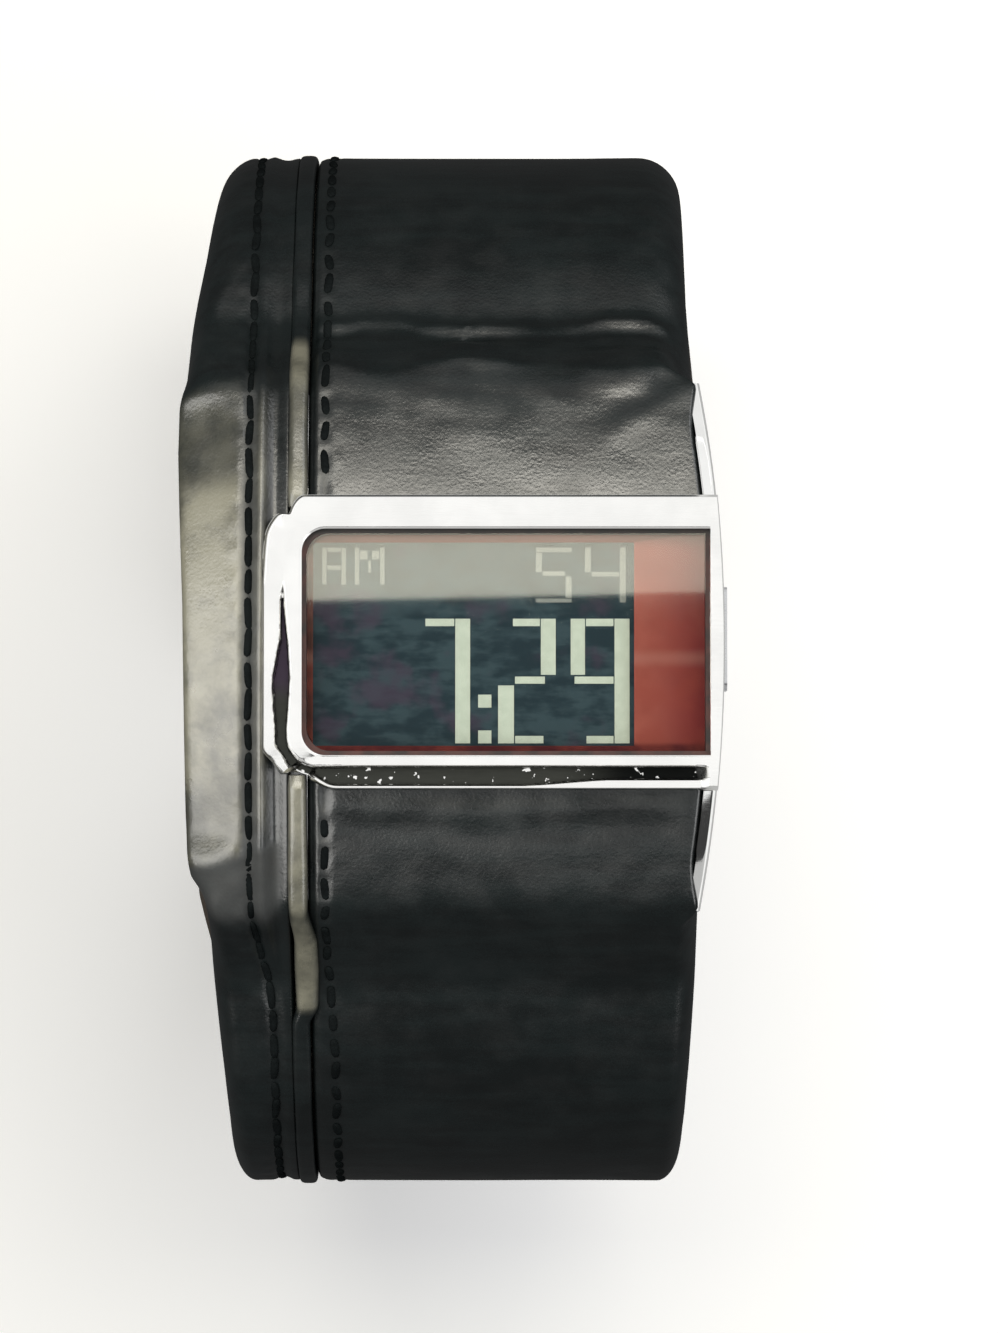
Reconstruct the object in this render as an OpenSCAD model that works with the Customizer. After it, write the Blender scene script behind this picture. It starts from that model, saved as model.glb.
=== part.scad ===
// Leather cuff watch with a digital display, closed in a ring and lying on its buckle.
// Millimetres. X runs across the cuff, +Y is 12 o'clock, +Z is the dial side and
// z = 0 is the flat outer face of the buckle frame, on which the watch rests.

/* [Wrist opening] */
// Width of the opening, along Y
wrist_w = 65.6; // [64.8:0.1:66.4]
// Height of the opening, along Z
wrist_h = 46; // [45.6:0.1:46.6]
// Radius of the opening under the case
wrist_top_r = 44; // [43.6:0.1:44.6]
// Radius of the opening over the buckle
wrist_low_r = 42; // [41.8:0.1:42.2]
// Height of the opening's lowest line above the rest plane
wrist_z = 5.6; // [5.5:0.05:5.8]
// Height of the widest level above that line
widest_rise = 22.5; // [22:0.1:23]

/* [Leather] */
// Thickness of the lining
lining_t = 1; // [0.8:0.05:1.1]
// Thickness of the outer leather
upper_t = 1.2; // [1.1:0.05:1.3]
// Whole thickness of the strap at its widest level
side_t = 3.9; // [3.6:0.1:4.2]
// Whole thickness of the strap at the level of the case
top_t = 4.4; // [4.2:0.1:4.8]
// Width of the strap beside the case
strap_w = 33.45; // [33:0.05:33.8]
// Width of the strap at the buckle
tail_w = 26; // [25:0.1:26.2]
// How far the welt stands proud
welt_rise = 0.6; // [0.4:0.05:0.7]
// Width of the welt
welt_w = 1.1; // [0.9:0.05:1.2]
// From the welt's middle to the window's left edge
welt_off = 0.25; // [0.2:0.01:0.3]

/* [Case] */
// Length of the case along the strap
case_l = 35.8; // [35:0.1:36.4]
// Height of the leather over the case, above the opening's highest line
cover_rise = 8.6; // [8.5:0.05:8.8]
// Radius of the leather over the case, seen from the side
cover_r = 46; // [45:0.1:48]
// How far the right flank of the case bulges past the strap's edge
flank_out = 1.525; // [1.475:0.025:1.7]
// How far the leather's left side bulges past the strap's edge
left_out = 1.535; // [1.48:0.005:1.77]
// Width of the bare steel rim
rim_w = 0.85; // [0.8:0.01:0.95]
// Steepness of the leather beyond the case's ends
end_slope = 53; // [50:1:56]
// Fall of the leather's left flange
flange_slope = 25; // [20:1:28]

/* [Dial] */
// Steel between the crystal and the flank
glass_edge = 1; // [0.95:0.01:1.05]
// Length of the window in the frame, across the cuff
window_l = 27.35; // [27.3:0.01:27.4]
// Height of the window, along Y
window_w = 15.2; // [15.1:0.02:15.3]
// Width of the frame's polished inner rim
inner_rim_w = 0.85; // [0.7:0.01:0.9]
// Height of the frame's rim above the leather
frame_rise = 1.5; // [1.4:0.05:1.6]
// Length of the frame, along Y
frame_l = 19.8; // [19.6:0.1:20.2]
// Radius of the frame's left corners
corner_r = 2.8; // [2.4:0.1:3]
// Thickness of the crystal
crystal_t = 1.5; // [1.4:0.05:1.55]
// Thickness of the display panel
lcd_t = 1.55; // [1.5:0.05:1.6]
// Diameter of the battery
battery_d = 16; // [15.6:0.1:16.2]
// Thickness of the battery
battery_t = 1.6; // [1.4:0.05:1.7]

/* [Pusher] */
// Length of the pusher's bar, along Y
pusher_l = 7; // [6.5:0.1:7.4]
// Height of the bar
pusher_h = 3; // [2.8:0.1:3.2]
// How far the bar stands proud of the flank
pusher_proud = 0.3; // [0.25:0.05:0.4]
// Diameter of the stem
stem_d = 1.2; // [1.1:0.05:1.3]

/* [Buckle] */
// Height of the far bar and the arms
buckle_h = 2.2; // [2:0.05:2.25]
// Width of each arm
arm_w = 2.2; // [2:0.1:2.4]
// Diameter of the spring bar's tube
tube_d = 1.3; // [1.2:0.05:1.35]
// Thickness of the tang
tang_t = 1.1; // [1:0.05:1.15]
// Width of the tang
tang_w = 2; // [1.8:0.05:2.1]
// Wall of the keepers
keeper_t = 1; // [0.9:0.05:1.05]
// Length of each keeper along the strap
keeper_l = 4.6; // [4.2:0.1:4.8]

/* [Fits] */
// Running clearance of shafts and pins, on the radius
run_fit = 0.03; // [0.02:0.005:0.04]
// Gap between leather parts that slide or swing past each other
loose_fit = 0.2; // [0.15:0.01:0.25]
// Gap round parts that are set into a pocket
set_fit = 0.05; // [0.03:0.01:0.06]

/* [Hidden] */
$fn = 96;
steel = [0.86, 0.86, 0.84];
brass = [0.78, 0.66, 0.36];
leather = [0.10, 0.11, 0.12];
suede = [0.17, 0.15, 0.14];
rubber = [0.07, 0.07, 0.07];

// The ring, seen from the side, in Y and Z.
top_z = wrist_z + wrist_h;
wide_z = wrist_z + widest_rise;
top_c = top_z - wrist_top_r;
low_c = wrist_z + wrist_low_r;
end_t = lining_t + upper_t;
cover_c = top_z + cover_rise - cover_r;
half_l = case_l / 2;
corner_z = cover_c + sqrt(cover_r * cover_r - half_l * half_l);
over_case = top_z + 24;
under_case = top_z - 12;
flank_x = strap_w / 2 + flank_out;
left_x = -strap_w / 2 - left_out;
side_x = strap_w / 2 + 3.3;

// The closure. Angles are measured about the low centre, from straight down towards +Y.
rise_from = -20;
rise_to = 4;
tail_gap = 0.1;
tail_lift = end_t + tail_gap;
tail_end = 38;
bar_y = 5;
bar_rho = wrist_low_r + 0.7;
bar_a = asin(bar_y / bar_rho);
bar_z = low_c - bar_rho * cos(bar_a);
nose_r = end_t - 0.75;
arm_x = tail_w / 2 + 0.5;
hole_r = 1;
fixed_a = 12.6;
free_a = 22;
free_play = 2;
tail_out_r = wrist_low_r + tail_lift + end_t;
keeper_half_a = keeper_l / 2 / (tail_out_r + loose_fit) * 180 / PI;

// Levels at which the strap starts and ends to widen, and where padding and welt end.
taper_low = low_c - wrist_low_r * cos(free_a + keeper_half_a + free_play) + 0.4;
taper_high = wide_z - 2.1;
pad_low = wide_z - 11.1;
welt_low = wide_z - 14.1;

// Heights in the case, measured from the opening's highest line.
rim_top = cover_rise + frame_rise;
glass_top = rim_top - 0.5;
mask_top = glass_top - crystal_t;
mask_low = mask_top - 0.3;
ledge_low = mask_low - 0.35;
lcd_top = ledge_low - set_fit;
lcd_low = lcd_top - lcd_t;
light_low = lcd_low - 0.4;
board_top = light_low - 0.75;
board_low = board_top - 0.8;
battery_top = board_low - 0.15;
battery_low = battery_top - battery_t;
clip_low = battery_low - 0.3;
film_low = clip_low - 0.15;
buzzer_low = lining_t + 0.05;
cavity_top = board_top + 0.5;

// Plan positions in the case.
win_x1 = flank_x - glass_edge;
win_x0 = win_x1 - window_l;
win_y = window_w / 2;
welt_x = win_x0 - welt_off;
frame_x0 = win_x0 - 2.7;
neck_t = 0.8;
neck_x1 = win_x1 - 0.75;
lcd_x0 = win_x0 + 0.7;
lcd_x1 = win_x1 - 5.05;
lcd_y0 = 0.7 - win_y;
lcd_y1 = win_y - 0.8;
panel_x0 = lcd_x0 - 0.5;
panel_x1 = lcd_x1 + 0.5;
panel_y = win_y - 0.25;
strip_y = panel_y - 0.8;
cav_x0 = win_x0 - 1.1;
cav_x1 = win_x1 - 3.35;
cav_y = win_y + 1.2;
board_x0 = cav_x0 + 1.2;
board_x1 = cav_x1 - 1.5;
board_y = cav_y - 0.95;
block_x0 = win_x0 - 4.1;
crest_x = win_x0 - 3.3;
battery_x = board_x0 + 8.5;
buzzer_x = cav_x1 - 4.4;
back_x0 = block_x0 - 0.8;
back_x1 = flank_x - 2.65;
back_y = cav_y + 5.1;
screw_y = back_y - 1.7;

// Pusher positions.
push_y = 0.5;
push_z = lining_t + 2.9;
head_t = 0.8;
head_x = flank_x + pusher_proud - head_t;
pocket_x = flank_x - 2.25;
stem_x = cav_x1 - 0.6;
seal_l = 0.7;
travel = 0.6;

// Helpers for placing shapes.
// A flat shape drawn in Y and Z, run along X.
module along_x(x0, x1) {
  translate([x0, 0, 0]) rotate([90, 0, 90]) linear_extrude(x1 - x0) children();
}
// A flat shape drawn in X and Z, run along Y through the whole ring.
module along_y() {
  translate([0, 60, 0]) rotate([90, 0, 0]) linear_extrude(120) children();
}
// A box from two corners.
module box(a, b) {
  translate(a) cube(b - a);
}
// The case is drawn with the opening's highest line at z = 0.
module at_case() {
  translate([0, 0, top_z]) children();
}
// A section of the case, drawn as X and radius, turned about the leather's arc.
module case_turn() {
  translate([0, 0, cover_c]) rotate([0, 90, 0])
    rotate_extrude(start = 148, angle = 64)
      rotate(90) mirror([0, 1]) children();
}
// A wedge about the low centre, between two angles.
module wedge(a, b) {
  polygon([[0, low_c], [90 * sin(a), low_c - 90 * cos(a)], [90 * sin(b), low_c - 90 * cos(b)]]);
}
// A shape run along Z at an angle about the low centre.
module at_angle(a) {
  translate([0, 0, low_c]) rotate([a, 0, 0]) children();
}

// Half of an oval: one arc over the top or bottom and two smaller arcs at the sides.
// The side arcs start a little before the point where they touch the larger arc.
module half_oval(b, r, c, up) {
  dz = c - wide_z;
  q = round((r * r - b * b - dz * dz) / (2 * (r - b)) * 1000) / 1000;
  yj = round((b - q) * r / (r - q) * 100) / 100 - 0.8;
  z0 = up ? wide_z : wide_z - 60;
  intersection() {
    translate([0, c]) circle(r);
    translate([-yj, z0]) square([2 * yj, 60]);
  }
  for (m = [-1, 1]) intersection() {
    translate([m * (b - q), wide_z]) circle(q);
    translate([m > 0 ? yj : -yj - 60, z0]) square([60, 60]);
  }
}
module oval(b, top_radius, low_radius) {
  half_oval(b, top_radius, top_c, true);
  half_oval(b, low_radius, low_c, false);
}
// The wrist opening, grown outwards.
module opening(t) {
  oval(wrist_w / 2 + t, wrist_top_r + t, wrist_low_r + t);
}
// The end faces of the leather over the case, as one trapezium.
module roof(t) {
  za = over_case;
  zb = under_case;
  ya = half_l + (corner_z - za) / tan(end_slope) - t / sin(end_slope);
  yb = half_l + (corner_z - zb) / tan(end_slope) - t / sin(end_slope);
  polygon([[-yb, zb], [yb, zb], [ya, za], [-ya, za]]);
}
// The whole outer shape of the leather, shrunk inwards.
module envelope(t) {
  oval(wrist_w / 2 + side_t - t, wrist_top_r + top_t - t, wrist_low_r + end_t - t);
  intersection() {
    translate([0, cover_c]) circle(cover_r - t);
    roof(t);
    translate([-30, under_case]) square([60, 40]);
  }
}
module inner_zone() {
  translate([0, low_c]) circle(wrist_low_r + lining_t);
}
// The lining, and its half of the fold that holds the spring bar.
module lining_2d() {
  difference() {
    opening(lining_t);
    opening(0);
    wedge(rise_from, bar_a);
  }
}
module lining_nose() {
  intersection() {
    translate([bar_y, bar_z]) circle(nose_r);
    inner_zone();
  }
}
// The outer leather all round, then its 12 o'clock half with its part of the fold,
// and its 6 o'clock half with the part that rises through the buckle.
module upper_ring() {
  difference() {
    envelope(0);
    envelope(upper_t);
    wedge(rise_from, bar_a);
  }
}
module upper_half_top() {
  difference() {
    union() {
      intersection() {
        upper_ring();
        translate([0, -5]) square([60, 100]);
      }
      difference() {
        translate([bar_y, bar_z]) circle(nose_r);
        inner_zone();
      }
    }
    translate([bar_y, bar_z]) circle(tube_d / 2 + set_fit);
  }
}
module upper_half_low() {
  intersection() {
    upper_ring();
    translate([-60, -5]) square([60, 100]);
  }
}

// Outlines in plan: each side of the case is a large arc.
module barrel(inset) {
  intersection() {
    translate([flank_x - inset - 105, 0]) circle(105);
    translate([left_x + 200, 0]) circle(200);
    translate([-30, -half_l]) square([60, case_l]);
  }
}
module plan(inset) {
  w = strap_w / 2;
  shoulder = left_x + half_l * half_l / 400;
  barrel(inset);
  translate([-w, half_l]) square([strap_w, 40]);
  translate([-w, -half_l - 40]) square([strap_w, 40]);
  for (m = [-1, 1])
    polygon([[-w + 1, m * half_l], [shoulder, m * half_l],
             [-w, m * (half_l + 9)], [-w + 1, m * (half_l + 9)]]);
}
// The strap as seen from 12 o'clock: it narrows towards the buckle.
module taper() {
  a = tail_w / 2;
  b = strap_w / 2;
  polygon([[-a, -5], [a, -5], [a, taper_low], [b, taper_high], [b + 5, taper_high],
           [b + 5, over_case], [-b - 5, over_case], [-b - 5, taper_high],
           [-b, taper_high], [-a, taper_low]]);
}
module strap_cut(inset) {
  intersection() {
    children();
    translate([0, 0, -5]) linear_extrude(90) plan(inset);
    along_y() taper();
  }
}

// The tail: it rises through the buckle in a smooth curve, then follows an arc.
function ease(u) = u * u * (3 - 2 * u);
function rise_at(i) = tail_lift * ease(i / 24);
function rise_angle(i) = rise_from + (rise_to - rise_from) * i / 24;
function on_arc(r, a) = [r * sin(a), low_c - r * cos(a)];
module rise_2d(t0, t1) {
  r0 = wrist_low_r + t0 + 0.01;
  r1 = wrist_low_r + t1 - 0.01;
  polygon(concat(
    [for (i = [0:24]) on_arc(r0 + rise_at(i), rise_angle(i))],
    [for (i = [24:-1:0]) on_arc(r1 + rise_at(i), rise_angle(i))]));
}
module tail_2d(t0, t1) {
  intersection() {
    difference() {
      translate([0, low_c]) circle(wrist_low_r + tail_lift + t1);
      translate([0, low_c]) circle(wrist_low_r + tail_lift + t0);
    }
    wedge(rise_to, tail_end);
  }
}
module tail_tip() {
  a = tail_w / 2;
  y = (wrist_low_r + tail_lift) * sin(tail_end) - a * 0.8;
  translate([0, 0, -1]) linear_extrude(30) {
    translate([-a, 0]) square([tail_w, y]);
    translate([0, y]) circle(a);
  }
}
module tail(t0, t1, x0, x1) {
  strap_cut(0) along_x(x0, x1) rise_2d(t0, t1);
  intersection() {
    along_x(max(x0, -tail_w / 2), min(x1, tail_w / 2)) tail_2d(t0, t1);
    tail_tip();
  }
}
module tail_holes() {
  for (a = [10.5, 17.5, 24.5, 31.5])
    at_angle(a) translate([0, 0, -tail_out_r - 1]) cylinder(h = 8, r = hole_r);
  box([-tang_w / 2 - 0.3, -0.8, -1], [tang_w / 2 + 0.3, 5.2, 6]);
}
module tang_slot() {
  w = tang_w / 2 + 0.3;
  box([-w, 3, 2.7], [w, 8.2, 8]);
}

// Outer leather.
module window_cut() {
  g = neck_t + set_fit;
  box([win_x0 - g, -win_y - g, top_z - 1.6], [side_x, win_y + g, over_case]);
}
module flange_cut() {
  s = tan(flange_slope);
  case_turn() polygon([[crest_x + 1, cover_r + s], [crest_x - 4.6, cover_r - 4.6 * s],
                       [-side_x - 2, cover_r - 8], [-side_x - 2, cover_r + 6],
                       [crest_x + 1, cover_r + 6]]);
}
module upper_left() {
  color(leather) difference() {
    union() {
      strap_cut(0) along_x(-side_x, welt_x - welt_w / 2) upper_half_top();
      strap_cut(0) along_x(-side_x, welt_x - welt_w / 2) upper_half_low();
      strap_cut(0) along_x(-side_x, block_x0) side_wall();
      tail(lining_t, end_t, -side_x, welt_x - welt_w / 2);
    }
    flange_cut();
    window_cut();
  }
}
// The leather wrapped down the left side of the case.
module side_wall() {
  difference() {
    intersection() {
      envelope(upper_t / 2);
      translate([-half_l, under_case + 4.4]) square([case_l, 40]);
    }
    translate([0, top_c]) circle(wrist_top_r + lining_t);
  }
}
// Everything inside the outer face of the lining, at the level of the case.
module lining_room() {
  translate([0, 0, top_c]) rotate([0, 90, 0])
    cylinder(h = 80, r = wrist_top_r + lining_t, center = true);
}
module upper_top() {
  color(leather) difference() {
    strap_cut(rim_w) along_x(welt_x + welt_w / 2, side_x) upper_half_top();
    window_cut();
    tang_slot();
  }
}
module upper_bottom() {
  color(leather) difference() {
    union() {
      strap_cut(rim_w) along_x(welt_x + welt_w / 2, side_x) upper_half_low();
      tail(lining_t, end_t, welt_x + welt_w / 2, side_x);
    }
    window_cut();
    tail_holes();
  }
}
// The welt fills the seam between the two panels and stands proud of them above the buckle.
module welt_ridge() {
  intersection() {
    difference() {
      envelope(-welt_rise);
      envelope(0);
    }
    translate([-60, welt_low]) square([120, 60]);
  }
}
module welt_clear() {
  f = frame_l / 2 + set_fit;
  window_cut();
  intersection() {
    translate([0, 0, cover_c]) rotate([0, 90, 0]) difference() {
      cylinder(h = 80, r = cover_r + 9, center = true);
      cylinder(h = 90, r = cover_r, center = true);
    }
    box([-side_x, -f, top_z - 1.6], [side_x, f, over_case]);
  }
}
module welt_top() {
  x0 = welt_x - welt_w / 2;
  color(leather) difference() {
    strap_cut(0) along_x(x0, x0 + welt_w) {
      upper_half_top();
      intersection() {
        welt_ridge();
        square([60, 80]);
      }
    }
    welt_clear();
  }
}
module welt_bottom() {
  x0 = welt_x - welt_w / 2;
  color(leather) difference() {
    union() {
      strap_cut(0) along_x(x0, x0 + welt_w) {
        upper_half_low();
        intersection() {
          welt_ridge();
          translate([-60, 0]) square([60, 80]);
        }
      }
      tail(lining_t, end_t, x0, x0 + welt_w);
    }
    welt_clear();
  }
}
module lining() {
  color(suede) difference() {
    union() {
      strap_cut(0.3) along_x(-side_x, side_x) lining_2d();
      strap_cut(0) along_x(-side_x, side_x) lining_nose();
      tail(0, lining_t, -side_x, side_x);
    }
    box([back_x0 - set_fit, -back_y - set_fit, under_case],
        [back_x1 + set_fit, back_y + set_fit, top_z + 8]);
    along_x(-side_x, side_x) translate([bar_y, bar_z]) circle(tube_d / 2 + set_fit);
    tang_slot();
    tail_holes();
  }
}
module padding(m) {
  color(suede) strap_cut(0) along_x(-strap_w / 2 + 0.4, strap_w / 2 - 0.4) intersection() {
    difference() {
      envelope(upper_t);
      opening(lining_t);
    }
    translate([m > 0 ? half_l : -half_l - 60, pad_low]) square([60, 60]);
  }
}
module padding_top() {
  padding(1);
}
module padding_bottom() {
  padding(-1);
}

// Case.
module inside_lining() {
  translate([0, 0, -wrist_top_r]) rotate([0, 90, 0])
    cylinder(h = 80, r = wrist_top_r + lining_t, center = true);
}
module window_plan(g) {
  r = 1.6;
  translate([win_x0 - g, -win_y - g]) intersection() {
    square([window_l + 2 * g, window_w + 2 * g]);
    union() {
      translate([r, 0]) square([60, 60]);
      translate([0, r]) square([r, window_w + 2 * g - 2 * r]);
      translate([r, r]) circle(r);
      translate([r, window_w + 2 * g - r]) circle(r);
    }
  }
}
// The room the outer leather takes over the case, left of the bare rim.
module leather_room() {
  difference() {
    translate([0, 0, top_z - 5.6]) linear_extrude(30) intersection() {
      translate([flank_x - rim_w - 105, 0]) circle(105);
      translate([-30, -30]) square([60, 60]);
    }
    along_x(-30, 30) intersection() {
      translate([0, cover_c]) circle(cover_r - upper_t);
      roof(upper_t);
    }
  }
}
module case_body() {
  color(steel) difference() {
    intersection() {
      along_x(block_x0, side_x) translate([0, cover_c]) circle(cover_r);
      translate([0, 0, under_case]) linear_extrude(30) barrel(0);
    }
    leather_room();
    lining_room();
    at_case() {
      box([cav_x0, -cav_y, -5], [cav_x1, cav_y, cavity_top]);
      box([panel_x0 - 0.4, -panel_y - 0.35, 0], [panel_x1 + 0.4, panel_y + 0.35, 12]);
      translate([0, 0, ledge_low - set_fit]) linear_extrude(5) window_plan(set_fit);
      neck_room();
      gasket_room();
      pusher_room();
      screw_places() cylinder(h = 4.2, r = 0.6);
    }
  }
}
// The groove in which the frame's neck sits.
module neck_plan(g) {
  difference() {
    window_plan(neck_t + g);
    window_plan(-g);
    translate([neck_x1 + g, -30]) square([30, 60]);
  }
}
module neck_room() {
  intersection() {
    difference() {
      translate([0, 0, 2]) linear_extrude(10) neck_plan(run_fit);
      translate([0, 0, -top_z]) neck_arc();
    }
    box([-side_x, -20, 4], [side_x, 20, 12]);
  }
}
module neck_arc() {
  translate([0, 0, cover_c]) rotate([0, 90, 0])
    cylinder(h = 80, r = cover_r - upper_t - 0.6, center = true);
}
module gasket_room() {
  intersection() {
    translate([0, 0, -5]) linear_extrude(12) difference() {
      cavity_plan(0.9);
      cavity_plan(0.4);
    }
    translate([0, 0, -wrist_top_r]) rotate([0, 90, 0])
      cylinder(h = 80, r = wrist_top_r + lining_t + 0.4, center = true);
  }
}
module cavity_plan(g) {
  translate([cav_x0 - g, -cav_y - g]) square([cav_x1 - cav_x0 + 2 * g, 2 * (cav_y + g)]);
}
module screw_places() {
  for (x = [back_x0 + 2, back_x1 - 2.4]) for (m = [-1, 1])
    translate([x, 0, -wrist_top_r]) rotate([-m * asin(screw_y / wrist_top_r), 0, 0])
      translate([0, 0, wrist_top_r]) children();
}
module case_back() {
  color(steel) at_case() difference() {
    intersection() {
      inside_lining();
      box([back_x0, -back_y, -8], [back_x1, back_y, 3]);
    }
    translate([0, 0, -wrist_top_r]) rotate([0, 90, 0])
      cylinder(h = 80, r = wrist_top_r, center = true);
    screw_places() rotate_extrude()
      polygon([[0, -1], [1.25, -1], [1.25, 0.55], [0.65, 0.55], [0.65, 4], [0, 4]]);
  }
}
module case_back_gasket() {
  color(rubber) at_case() difference() {
    gasket_room();
    inside_lining();
  }
}
module case_back_screws() {
  color(steel) at_case() screw_places() difference() {
    union() {
      translate([0, 0, 0.05]) cylinder(h = 0.5, r = 1.2);
      translate([0, 0, 0.55]) cylinder(h = 3.3, r = 0.58);
    }
    box([-1.5, -0.15, -1], [1.5, 0.15, 0.25]);
  }
}
module bezel_frame() {
  color(steel) at_case() difference() {
    union() {
      difference() {
        union() {
          intersection() {
            linear_extrude(rim_top - 0.7) frame_plan(0);
            translate([0, 0, -1]) linear_extrude(20) barrel(0);
          }
          intersection() {
            linear_extrude(rim_top) window_plan(inner_rim_w);
            translate([0, 0, -1]) linear_extrude(20) barrel(0);
          }
        }
        translate([0, 0, -top_z]) translate([0, 0, cover_c]) rotate([0, 90, 0])
          cylinder(h = 80, r = cover_r, center = true);
      }
      difference() {
        linear_extrude(rim_top - 0.7) neck_plan(0);
        translate([0, 0, -top_z]) neck_arc();
      }
      intersection() {
        translate([0, 0, ledge_low]) linear_extrude(0.35) window_plan(0.1);
        translate([0, 0, -1]) linear_extrude(20) barrel(rim_w + 0.1);
      }
    }
    cove();
    translate([0, 0, mask_low]) linear_extrude(10) window_plan(0);
    box([lcd_x0 - 0.1, lcd_y0 - 0.1, -5], [lcd_x1 + 0.1, lcd_y1 + 0.1, 12]);
  }
}
module frame_plan(g) {
  f = frame_l / 2 - g;
  r = corner_r - g;
  translate([frame_x0 + g + r, -f]) square([60, 2 * f]);
  translate([frame_x0 + g, -f + r]) square([10, 2 * (f - r)]);
  for (m = [-1, 1]) translate([frame_x0 + g + r, m * (f - r)]) circle(r);
}
// The hollow line between the frame's rim and its outer bead.
module cove() {
  translate([0, 0, rim_top - 1.3]) linear_extrude(5) difference() {
    frame_plan(0.75);
    window_plan(inner_rim_w);
    translate([win_x1 + 0.2, -30]) square([30, 60]);
  }
}
module crystal() {
  color([0.8, 0.85, 0.85, 0.4]) at_case() translate([0, 0, mask_top])
    linear_extrude(crystal_t) window_plan(-0.3);
}
module crystal_gasket() {
  color(rubber) at_case() translate([0, 0, mask_top]) linear_extrude(crystal_t - 0.1) difference() {
    window_plan(0);
    window_plan(-0.3);
  }
}
module dial_mask() {
  color([0.55, 0.16, 0.15]) at_case() difference() {
    translate([0, 0, mask_low]) linear_extrude(0.3) window_plan(-set_fit);
    box([lcd_x0, lcd_y0, 0], [lcd_x1, lcd_y1, 12]);
  }
}

// Inside the case.
module lcd_panel() {
  color([0.12, 0.16, 0.18]) at_case() box([panel_x0, -panel_y, lcd_low], [panel_x1, panel_y, lcd_top]);
}
// One bar of a figure, measured from the display's lower left corner.
module seg(x0, x1, y0, y1) {
  translate([lcd_x0, lcd_y0, lcd_top]) box([x0, y0, 0], [x1, y1, 0.04]);
}
module lcd_digits() {
  color([0.82, 0.87, 0.78]) at_case() {
    seven();
    colon();
    two();
    nine();
    small_five();
    small_four();
    marker();
  }
}
module seven() {
  seg(7.56, 9.5, 8.1, 8.6);
  seg(9.57, 10.57, 0.2, 8.6);
}
module colon() {
  seg(11.11, 12, 2.61, 3.48);
  seg(11.11, 12, 0.2, 1.07);
}
module two() {
  seg(13.45, 15.26, 8.1, 8.6);
  seg(15.33, 16.33, 4.82, 8.6);
  seg(13.59, 15.6, 4.22, 4.7);
  seg(12.45, 13.52, 0.2, 4.1);
  seg(13.6, 15.5, 0.2, 0.7);
}
module nine() {
  seg(17.34, 18.3, 4.82, 8.6);
  seg(18.37, 20.22, 8.1, 8.6);
  seg(17.6, 20.22, 4.22, 4.7);
  seg(20.29, 21.3, 0.2, 8.6);
  seg(18.4, 20.22, 0.2, 0.7);
}
module small_five() {
  seg(15, 17.4, 13.1, 13.4);
  seg(15, 15.4, 11.75, 13.05);
  seg(15.45, 16.95, 11.5, 11.8);
  seg(17, 17.4, 10, 11.45);
  seg(15, 17.4, 9.7, 9.95);
}
module small_four() {
  seg(18.3, 18.7, 11.75, 13.4);
  seg(18.75, 20.6, 11.45, 11.75);
  seg(20.65, 21.05, 9.7, 13.4);
}
module marker() {
  seg(0.6, 0.9, 10.9, 13.4);
  seg(0.95, 1.85, 13.1, 13.4);
  seg(0.95, 1.85, 11.9, 12.2);
  seg(1.9, 2.2, 10.9, 13.4);
  seg(2.8, 3.1, 10.9, 13.4);
  seg(3.15, 3.65, 12.6, 13.2);
  seg(3.7, 3.9, 11.7, 12.5);
  seg(3.95, 4.45, 12.6, 13.2);
  seg(4.5, 4.8, 10.9, 13.4);
}
module backlight() {
  y = strip_y - 0.95;
  color([0.75, 0.85, 0.8]) at_case() box([panel_x0, -y, light_low], [panel_x1, y, lcd_low]);
}
module zebra_strips() {
  color([0.8, 0.45, 0.4]) at_case() for (m = [-1, 1])
    box([panel_x0 + 0.9, m * strip_y - 0.5, board_top], [panel_x1 - 0.7, m * strip_y + 0.5, lcd_low]);
}
module module_frame() {
  color([0.2, 0.2, 0.22]) at_case() difference() {
    union() {
      box([cav_x0 + 0.1, 0.1 - cav_y, board_low - 0.05], [cav_x1 - 0.1, cav_y - 0.1, cavity_top - 0.1]);
      box([panel_x0 - 0.3, -panel_y - 0.25, cavity_top - 0.2], [panel_x1 + 0.3, panel_y + 0.25, light_low]);
    }
    box([board_x0 - 0.2, -board_y - 0.1, 0], [board_x1 + 0.1, board_y + 0.1, board_top + 0.05]);
    for (m = [-1, 1])
      box([panel_x0 + 0.8, m * strip_y - 0.55, 0], [panel_x1 - 0.6, m * strip_y + 0.55, 9]);
    box([board_x1 - 0.4, push_y - 1.3, 0], [side_x, push_y + 1.3, push_z + 1.1]);
  }
}
module circuit_board() {
  color([0.1, 0.4, 0.25]) at_case() box([board_x0, -board_y, board_low], [board_x1, board_y, board_top]);
}
module driver_chip() {
  x0 = board_x1 - 4.8;
  y0 = 1.65 - board_y;
  color(rubber) at_case() box([x0, y0, board_low - 0.9], [x0 + 3.6, y0 + 3.6, board_low]);
}
module quartz_can() {
  color(steel) at_case() translate([board_x1 - 3.2, board_y - 5.15, board_low - 0.75])
    rotate([-90, 0, 0]) cylinder(h = 4.8, d = 1.5);
}
module battery() {
  color(steel) at_case() {
    translate([battery_x, 0, battery_low]) cylinder(h = battery_t - 0.3, d = battery_d);
    translate([battery_x, 0, battery_top - 0.3]) cylinder(h = 0.3, d = battery_d - 2.4);
  }
}
module battery_clip() {
  x0 = battery_x - battery_d / 2 - 0.5;
  x1 = battery_x + battery_d / 2 + 0.7;
  color(brass) at_case() {
    box([x0, -2.2, clip_low], [x1, 2.2, battery_low]);
    box([x0, -2.2, clip_low], [x0 + 0.3, 2.2, board_low]);
    box([x1 - 0.3, -2.2, clip_low], [x1, 2.2, board_low]);
  }
}
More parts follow.
